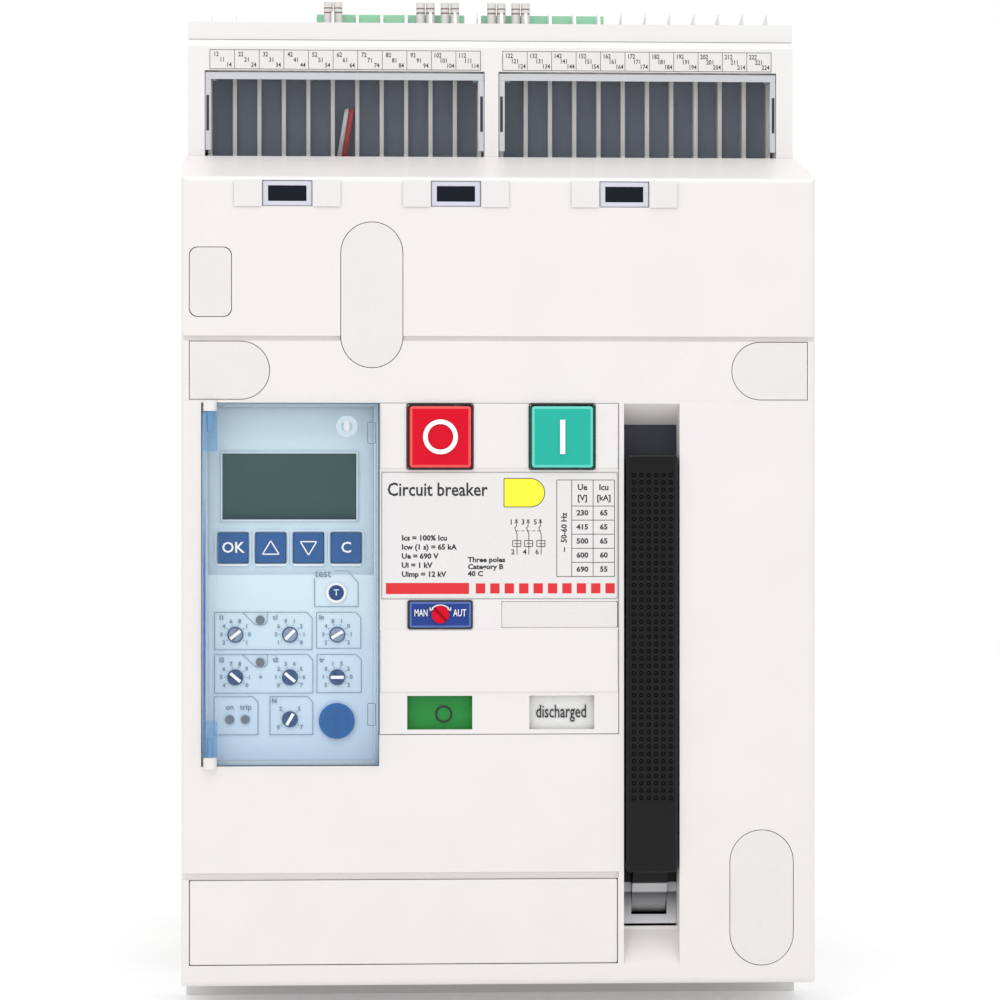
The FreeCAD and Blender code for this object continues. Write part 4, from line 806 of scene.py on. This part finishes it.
def dial_legends():
    """Outlined groups, scale numbers and small captions round each rotary dial."""
    bm = bmesh.new()
    depth = LOWER_FACE - PRINT
    group_frame(bm, (-117.9, -77.5), (149.9, 165.4), depth, 2.2, LAMPS[0])
    group_frame(bm, (-75.7, -57.3), (150.4, 165.4), depth)
    group_frame(bm, (-117.9, -77.2), (131.9, 147.9), depth, 2.2, LAMPS[1])
    group_frame(bm, (-75.5, -57.1), (132.0, 147.9), depth)
    group_frame(bm, (-118.1, -99.9), (114.6, 130.4), depth)
    group_frame(bm, (-95.0, -77.2), (114.6, 130.4), depth)
    for (x, z), scale in zip(DIALS, DIAL_SCALES):
        last = len(scale) - 1
        for i, number in enumerate(scale):
            a = math.radians(215 - 250 * i / last)
            add_text(bm, number, x + 5.8 * math.cos(a), z + 5.8 * math.sin(a), 1.75, depth, weight=0.05)
            add_stroke(bm, *[(x + r * math.cos(a), z + r * math.sin(a)) for r in (3.95, 4.6)], 0.22, depth)
    captions = ((-114.9, 163.2, "I1"), (-92.6, 163.2, "t1"), (-73.6, 163.2, "In"), (-114.9, 145.6, "I2"),
                (-92.6, 145.6, "t2"), (-73.4, 145.6, "tr"), (-93.2, 128.6, "N"), (-98.8, 138.4, "+"))
    for x, z, words in captions:
        add_text(bm, words, x, z, 2.0, depth, weight=0.07)
    test_frame = [(-76.5, 179.6), (-76.5, 167.7), (-58.4, 167.7), (-58.4, 177.6), (-62.6, 182.6)]
    test_frame.append((-68.4, 182.6))
    add_path(bm, test_frame, 0.26, depth)
    add_text(bm, "test", -73.0, 181.4, 3.2, depth, weight=0.04)
    add_text(bm, "on", -111.6, 126.0, 2.4, depth, weight=0.03)
    add_text(bm, "trip", -105.0, 126.0, 2.4, depth, weight=0.03)
    piece("dial_legends", bm, "grey_ink")


SLOT_TURNS = (40, 45, 30, -40, -40, 0, 60)


def dial_slots():
    """A dark ring and a light screwdriver slot on every dial, turned with it."""
    for number, ((x, z), turn) in enumerate(zip(DIALS, SLOT_TURNS), 1):
        node = "dial_" + str(number)
        face = limits(node)[1][0]
        body = frame["nodes"][node]["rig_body"]
        ring = bmesh.new()
        add_ring(ring, x, z, (face - 0.02, face + 0.1), 3.28, 2.75, 32)
        piece(node + "_ring", ring, "dial_dark", body)
        slot = bmesh.new()
        way = Vector((math.cos(math.radians(turn)), math.sin(math.radians(turn)))) * 2.7
        add_stroke(slot, (x - way.x, z - way.y), (x + way.x, z + way.y), 1.3, face - 0.02)
        piece(node + "_slot", slot, "white_ink", body)


def dial_rims():
    """A pale collar round the test button and a dark ring round each lamp."""
    bm = bmesh.new()
    rings = bmesh.new()
    add_ring(bm, -67.5, 173.5, (LOWER_FACE - 0.4, LOWER_FACE - 0.001), 4.2, 3.25, 32)
    for x, z in LAMPS:
        add_ring(rings, x, z, (LOWER_FACE - 0.3, LOWER_FACE - 0.001), 1.9, 1.5, 24)
    piece("test_collar", bm, "white_ink")
    piece("lamp_rings", rings, "grey_ink")


def cap_mark():
    """A bolt-in-a-circle sign on the port cap."""
    bm = bmesh.new()
    depth = LOWER_FACE - 2.2 - PRINT
    x, z = -67.3, 120.3
    add_ring(bm, x, z, (depth, depth + 0.02), 4.9, 4.5, 32)
    bolt = [(x + 0.8, z + 3.4), (x - 1.2, z + 0.1), (x + 0.8, z + 0.1), (x - 0.7, z - 3.4)]
    add_path(bm, bolt, 0.45, depth)
    piece("cap_mark", bm, "cap_ink", "cap")
    letter = bmesh.new()
    add_text(letter, "T", -67.5, 173.5, 2.6, LOWER_FACE - 1 - PRINT, weight=0.05)
    piece("test_letter", letter, "pale_ink", "test_key")


def display_bezel():
    bm = bmesh.new()
    x, _, z = limits("unit_display")
    border = 0.8
    deep = (UPPER_FACE - 0.5, UPPER_FACE - 0.001)
    for pair in ((x[0] - border, x[0]), (x[1], x[1] + border)):
        add_block(bm, pair, deep, (z[0] - border, z[1] + border), 0.15, 1)
    for pair in ((z[0] - border, z[0]), (z[1], z[1] + border)):
        add_block(bm, x, deep, pair, 0.15, 1)
    piece("display_bezel", bm, "bezel")


def lid_fittings():
    """Snap clips, seal boss and stiffening beads of the clear lid."""
    bm = bmesh.new()
    shadow = bmesh.new()
    x, depth, z = limits("unit_cover")
    face = depth[0]
    for low, high in ((235.4, 243.9), (119.1, 128.0)):
        add_block(bm, (-54.6, -51.6), (face - 0.15, face + 2.2), (low, high), 0.4, 2)
        # painted shadow: dark lines round each clip
        add_path(shadow, rounded_outline((-54.7, -51.5), (low - 0.1, high + 0.1), 0.5), 0.3, face - 0.05)
    piece("lid_fittings", bm, "lid", "lid")
    boss = bmesh.new()
    add_ring(boss, -63.3, 242.4, (face - 0.001, face + 0.6), 4.4, 2.4, 40)
    piece("seal_boss", boss, "lid_bead", "lid")
    edge = bmesh.new()
    add_block(edge, (x[0] + 0.1, x[0] + 0.9), (-0.8, 0.8), (z[0] + 4.0, z[1] - 4.0))
    piece("lid_edge", edge, "lid_edge", "lid")
    piece("clip_shadow_lines", shadow, "grey_ink", "lid")
    slot_piece = bmesh.new()
    add_block(slot_piece, (-64.6, -62.0), (face + 1.9, face + 2.6), (239.9, 244.9), 0.25, 2)
    piece("seal_slot", slot_piece, "white_ink", "lid")


def unit_bezel():
    """Pale ledge that closes the gap between the protection unit and its opening."""
    bm = bmesh.new()
    outer_x, outer_z = (-123.2, -50.0), (102.1, 252.1)
    inner_x, inner_z = limits("protection_unit")[0], limits("protection_unit")[2]
    deep = (8.0, 9.0)
    for pair in ((outer_x[0], inner_x[0]), (inner_x[1], outer_x[1])):
        add_block(bm, pair, deep, outer_z)
    for pair in ((outer_z[0], inner_z[0]), (inner_z[1], outer_z[1])):
        add_block(bm, inner_x, deep, pair)
    piece("unit_bezel", bm, "bezel")


def unit_pieces():
    dress("protection_unit", "unit")
    dress("unit_display", "display")
    for node in ("key_enter", "key_up", "key_down", "key_cancel"):
        dress(node, "key")
    dress("test_button", "test")
    for number in range(1, 8):
        dress("dial_" + str(number), "dial_grey" if number < 4 else "dial")
    dress("status_leds", "led")
    dress("unit_cover", "lid")
    dress("hinge_pins", "hinge")
    dress("port_cap", "cap")
    unit_bezel()
    key_marks()
    dial_legends()
    dial_slots()
    dial_rims()
    cap_mark()
    display_bezel()
    lid_fittings()


# ------------------------------------------------------------------ charging handle
def dimple_pad():
    """Crowned grip face with rows of small dimples."""
    columns, rows, pitch = 6, 45, 3.04
    bm = bmesh.new()
    bmesh.ops.create_grid(bm, x_segments=columns, y_segments=rows, size=0.5)
    bmesh.ops.scale(bm, vec=(size(columns * pitch), size(rows * pitch), 1.0), verts=bm.verts)
    bmesh.ops.inset_individual(bm, faces=list(bm.faces), thickness=size(0.50), use_even_offset=True)
    dimples = list(bm.faces)[:columns * rows]
    bmesh.ops.inset_individual(
        bm, faces=dimples, thickness=size(0.35), depth=-size(0.8), use_even_offset=True
    )
    x, depth, _ = limits("charging_handle")
    middle = point(sum(x) / 2, depth[0] + 0.4, 155.5)
    turn = Matrix.Rotation(math.radians(90), 4, "X")
    bmesh.ops.transform(bm, matrix=Matrix.Translation(middle) @ turn, verts=bm.verts)
    for v in bm.verts:
        v.co.y += (v.co.x - middle.x) ** 2 * 4.0
    made = piece("grip_dimples", bm, "black", "handle", smooth=60)
    rounding = made.modifiers.new("rounding", "SUBSURF")
    rounding.levels = rounding.render_levels = 1


def grip():
    """Crowned black grip: a bar with rounded edges and a shallow window for the dimpled face."""
    x, depth, z = limits("charging_handle")
    bm = bmesh.new()
    add_block(bm, x, (depth[0] + 0.45, depth[1]), z, 1.9, 5)
    front = max((f for f in bm.faces if f.normal.y < -0.99), key=lambda f: f.calc_area())
    window_low, window_high = 87.1, 223.9
    part = [front, *front.edges, *front.verts]
    bmesh.ops.bisect_plane(bm, geom=part, plane_co=point(0, 0, window_high), plane_no=(0, 0, 1))
    whole = list(bm.faces) + list(bm.edges) + list(bm.verts)
    bmesh.ops.bisect_plane(bm, geom=whole, plane_co=point(0, 0, window_low), plane_no=(0, 0, 1))
    window = [f for f in bm.faces if f.normal.y < -0.99 and 0.1 < f.calc_center_median().z < 0.2]
    made = bmesh.ops.extrude_face_region(bm, geom=window)
    bmesh.ops.delete(bm, geom=window, context="FACES")
    floor = [v for v in made["geom"] if isinstance(v, bmesh.types.BMVert)]
    bmesh.ops.translate(bm, vec=(0, size(1.6), 0), verts=floor)
    middle = size(sum(x) / 2)
    for v in bm.verts:
        if v.co.y < FRONT + size(3.0):
            v.co.y += (v.co.x - middle) ** 2 * 4.0
    piece("grip_bar", bm, "black", "handle", ("charging_handle",), smooth=60)


def well_strips():
    """Inner walls beside and below the handle's hub, which close the well."""
    bm = bmesh.new()
    hub = limits("handle_shaft")[2]
    for pair in ((51.7, 55.8), (70.6, 74.7)):
        add_block(bm, pair, (13.6, 14.0), (35.0, 57.0))
    add_block(bm, (55.8, 70.6), (13.6, 14.0), (35.0, hub[0] - 0.2))
    # the hub finish paints shade on these strips by height
    piece("well_strips", bm, "hub")


def handle_pieces():
    grip()
    well_strips()
    dimple_pad()
    dress("handle_shaft", "hub")
    dress("drive_gear", "steel")
    dress("handle_liner", "slate")


# ------------------------------------------------------------------ terminal housing
PITCH = 10.56
BANK = 4.8
LABEL_Z = (396.9, 405.3)


def terminal_labels():
    """Ruled label strips with terminal numbers above the two flaps."""
    strip = bmesh.new()
    black = bmesh.new()
    face = limits("terminal_housing")[1][0]
    depth = face - 0.15 - PRINT
    middle = sum(LABEL_Z) / 2
    for side in (-1, 1):
        span = sorted((side * BANK, side * (BANK + 11 * PITCH)))
        add_block(strip, span, (face - 0.15, face - 0.001), LABEL_Z, 0.05, 1)
        for z in (LABEL_Z[0] + 0.1, LABEL_Z[1] - 0.1):
            add_stroke(black, (span[0], z), (span[1], z), 0.2, depth)
        for i in range(12):
            x = span[0] + i * PITCH
            add_stroke(black, (x, LABEL_Z[0]), (x, LABEL_Z[1]), 0.2, depth)
        for i in range(11):
            number = 10 * (i + 1 if side < 0 else i + 12)
            x = span[0] + (i + 0.5) * PITCH
            places = ((-2.6, 2.1, 2), (0.0, -0.2, 1), (2.9, -2.4, 4))
            for across, up, last in places:
                words = str(number + last)
                add_text(black, words, x + across, middle + up, 2.0, depth, weight=0.04, squeeze=0.84)
    add_stroke(black, (-129.8, 409.6), (129.8, 409.6), 0.2, depth + 0.1)
    piece("label_strips", strip, "plate")
    piece("label_print", black, "ink")


def flap_frames():
    """Thicker pale rims moulded round the smoked flaps, with painted shade as dark blocks where the finger
    notches are.
    """
    for side, body in ((-1, "left_flap"), (1, "right_flap")):
        node = "terminal_cover_left" if side < 0 else "terminal_cover_right"
        x, depth, z = limits(node)
        bm = bmesh.new()
        front = (depth[0] - 0.12, depth[0] + 0.25)
        add_block(bm, x, front, (z[1] - 3.0, z[1]), 0.1, 1)
        for pair in ((x[0], x[0] + 2.4), (x[1] - 2.4, x[1])):
            add_block(bm, pair, front, (z[0] + 1.6, z[1] - 3.0), 0.1, 1)
        piece(node + "_rim", bm, "flap_rim", body)
        # painted shade: dark blocks standing for the shade in the finger notches
        notch_shade = bmesh.new()
        for pair in ((x[0] + 0.3, x[0] + 1.7), (x[1] - 1.7, x[1] - 0.3)):
            add_block(notch_shade, pair, (front[0] - 0.1, front[0] + 0.3), (370.4, 385.9), 0.3, 2)
        piece(node + "_notches", notch_shade, "slate", body)


def leads():
    """Red and white lead, split so that each has its own sheath, leaning side by side to the right."""
    source = frame["nodes"]["signal_wires"]
    x, _, z = limits("signal_wires")
    middle, height = size(sum(x) / 2), size(sum(z) / 2)
    for name, finish, side in (("red_lead", "red_wire", 1), ("white_lead", "white_wire", -1)):
        bm = bmesh.new()
        bm.from_mesh(source.data)
        bmesh.ops.remove_doubles(bm, verts=bm.verts, dist=1e-6)
        spare = [v for v in bm.verts if (v.co.x - middle) * side < 0]
        bmesh.ops.delete(bm, geom=spare, context="VERTS")
        for v in bm.verts:
            v.co.x += (v.co.z - height) * 0.16 - side * size(0.9)
        piece(name, bm, finish, BREAKER, ("signal_wires",))


def terminal_pieces():
    dress("terminal_housing", "terminal")
    dress("terminal_cover_left", "smoked")
    dress("terminal_cover_right", "smoked")
    dress("connector_strips", "connector")
    dress("auxiliary_contacts", "contact")
    leads()
    terminal_labels()
    flap_frames()


# ------------------------------------------------------------------ rear and mechanism
def springs():
    """Coil springs, each a copy of its CAD node, taken one side at a time where a node holds two."""
    spring_copy("closing_spring", "plunger_lift", "Z", 18.0)
    spring_copy("button_springs", "off_button_push", "Y", 4.0, -1)
    spring_copy("button_springs", "on_button_push", "Y", 4.0, 1)


def spring_copy(node, joint, letter, travel, side=0):
    """A spring of a CAD node, on one side of the middle if the node holds two."""
    source = frame["nodes"][node]
    bm = bmesh.new()
    bm.from_mesh(source.data)
    if side:
        bmesh.ops.delete(bm, geom=[v for v in bm.verts if v.co.x * side < 0], context="VERTS")
    at = "XYZ".index(letter)
    ends = [v.co[at] for v in bm.verts]
    made = piece(joint + "_spring", bm, "spring", source["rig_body"], (node,))
    length = max(ends) - min(ends)
    (length - size(travel)) / length
    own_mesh(made)


def rear_pieces():
    dress("chassis", "paint")
    dress("mounting_feet", "zinc")
    dress("fasteners", "screw")
    dress("mechanism_frame", "zinc")
    for node in ("camshaft", "spring_plunger", "pole_shaft", "coupling_links"):
        dress(node, "steel")
    springs()
    dress("release_coils", "coil")
    dress("current_transformers", "coil")
    dress("contact_carriers", "copper")
    dress("flexible_braids", "braid")
    dress("upper_terminals", "copper")
    dress("lower_terminals", "copper")
    dress("pole_housing", "resin")
    dress("arc_chutes", "chute")


def panes():
    """Clear panes over the two indicator windows."""
    bm = bmesh.new()
    for x in (-24.8, 25.8):
        add_block(bm, (x - 13.4, x + 13.4), (1.2, 2.2), (117.1, 130.9), 0.1, 1)
    finish = Finish("clear_pane", (0.05, 0.06, 0.06), 0.05, specular_ior_level=0.05)
    haze = finish.noise(40.0, 2.0)
    finish.set("Alpha", haze * 0.01 + 0.015)
    FINISHES["pane"] = finish
    piece("indicator_panes", bm, "pane", BREAKER, ("window_panes",))


# ------------------------------------------------------------------ stage
def stage():
    bpy.ops.mesh.primitive_plane_add(size=6.0, location=(0, 0.5, -0.0002))
    floor = bpy.context.object
    floor.name = "floor"
    pale = Finish("pale_floor", (0.93, 0.93, 0.93), 0.6)
    pale.set("Base Color", pale.mix(pale.noise(2.0), (0.80, 0.80, 0.80), (0.81, 0.81, 0.81)))
    pale.set("Emission Color", (1.0, 1.0, 1.0, 1.0))
    pale.set("Emission Strength", 0.17)
    floor.data.materials.append(pale.material)
    world = bpy.data.worlds.new("studio")
    world.use_nodes = True
    world.node_tree.nodes["Background"].inputs["Color"].default_value = (1.0, 1.0, 1.0, 1.0)
    world.node_tree.nodes["Background"].inputs["Strength"].default_value = 1.0
    bpy.context.scene.world = world
    softbox("left_softbox", (-1.1, -1.3, 0.9), 0.7, 1.5)
    softbox("right_softbox", (1.2, -1.2, 0.5), 0.7, 0.5)
    softbox("top_softbox", (0.1, -0.4, 1.6), 0.8, 4.0)
    softbox("strip_softbox", (-0.35, -1.1, 1.35), 0.16, 2.4)
    bpy.context.scene.view_settings.view_transform = "Standard"


def softbox(name, at, width, power):
    light = bpy.data.lights.new(name, "AREA")
    light.size = width
    light.energy = power
    holder = bpy.data.objects.new(name, light)
    holder.location = at
    holder.rotation_euler = (Vector((0, 0, 0.2)) - Vector(at)).to_track_quat("-Z", "Y").to_euler()
    bpy.context.scene.collection.objects.link(holder)


def camera():
    """Long lens, level, a little left of the middle, so that the left sides of proud parts show."""
    distance = 1600.0
    aim = point(0.1, 0, 212.0)
    place = point(-87.3, -distance, 212.0)
    data = bpy.data.cameras.new("camera")
    data.sensor_width = 36.0
    data.lens = 36.0 * (place - aim).length / size(VIEW_WIDTH)
    holder = bpy.data.objects.new("camera", data)
    holder.location = place
    holder.rotation_euler = (aim - place).to_track_quat("-Z", "Y").to_euler()
    bpy.context.scene.collection.objects.link(holder)
    bpy.context.scene.camera = holder


camera()
cover_pieces()
control_pieces()
unit_pieces()
handle_pieces()
terminal_pieces()
rear_pieces()
panes()
stage()
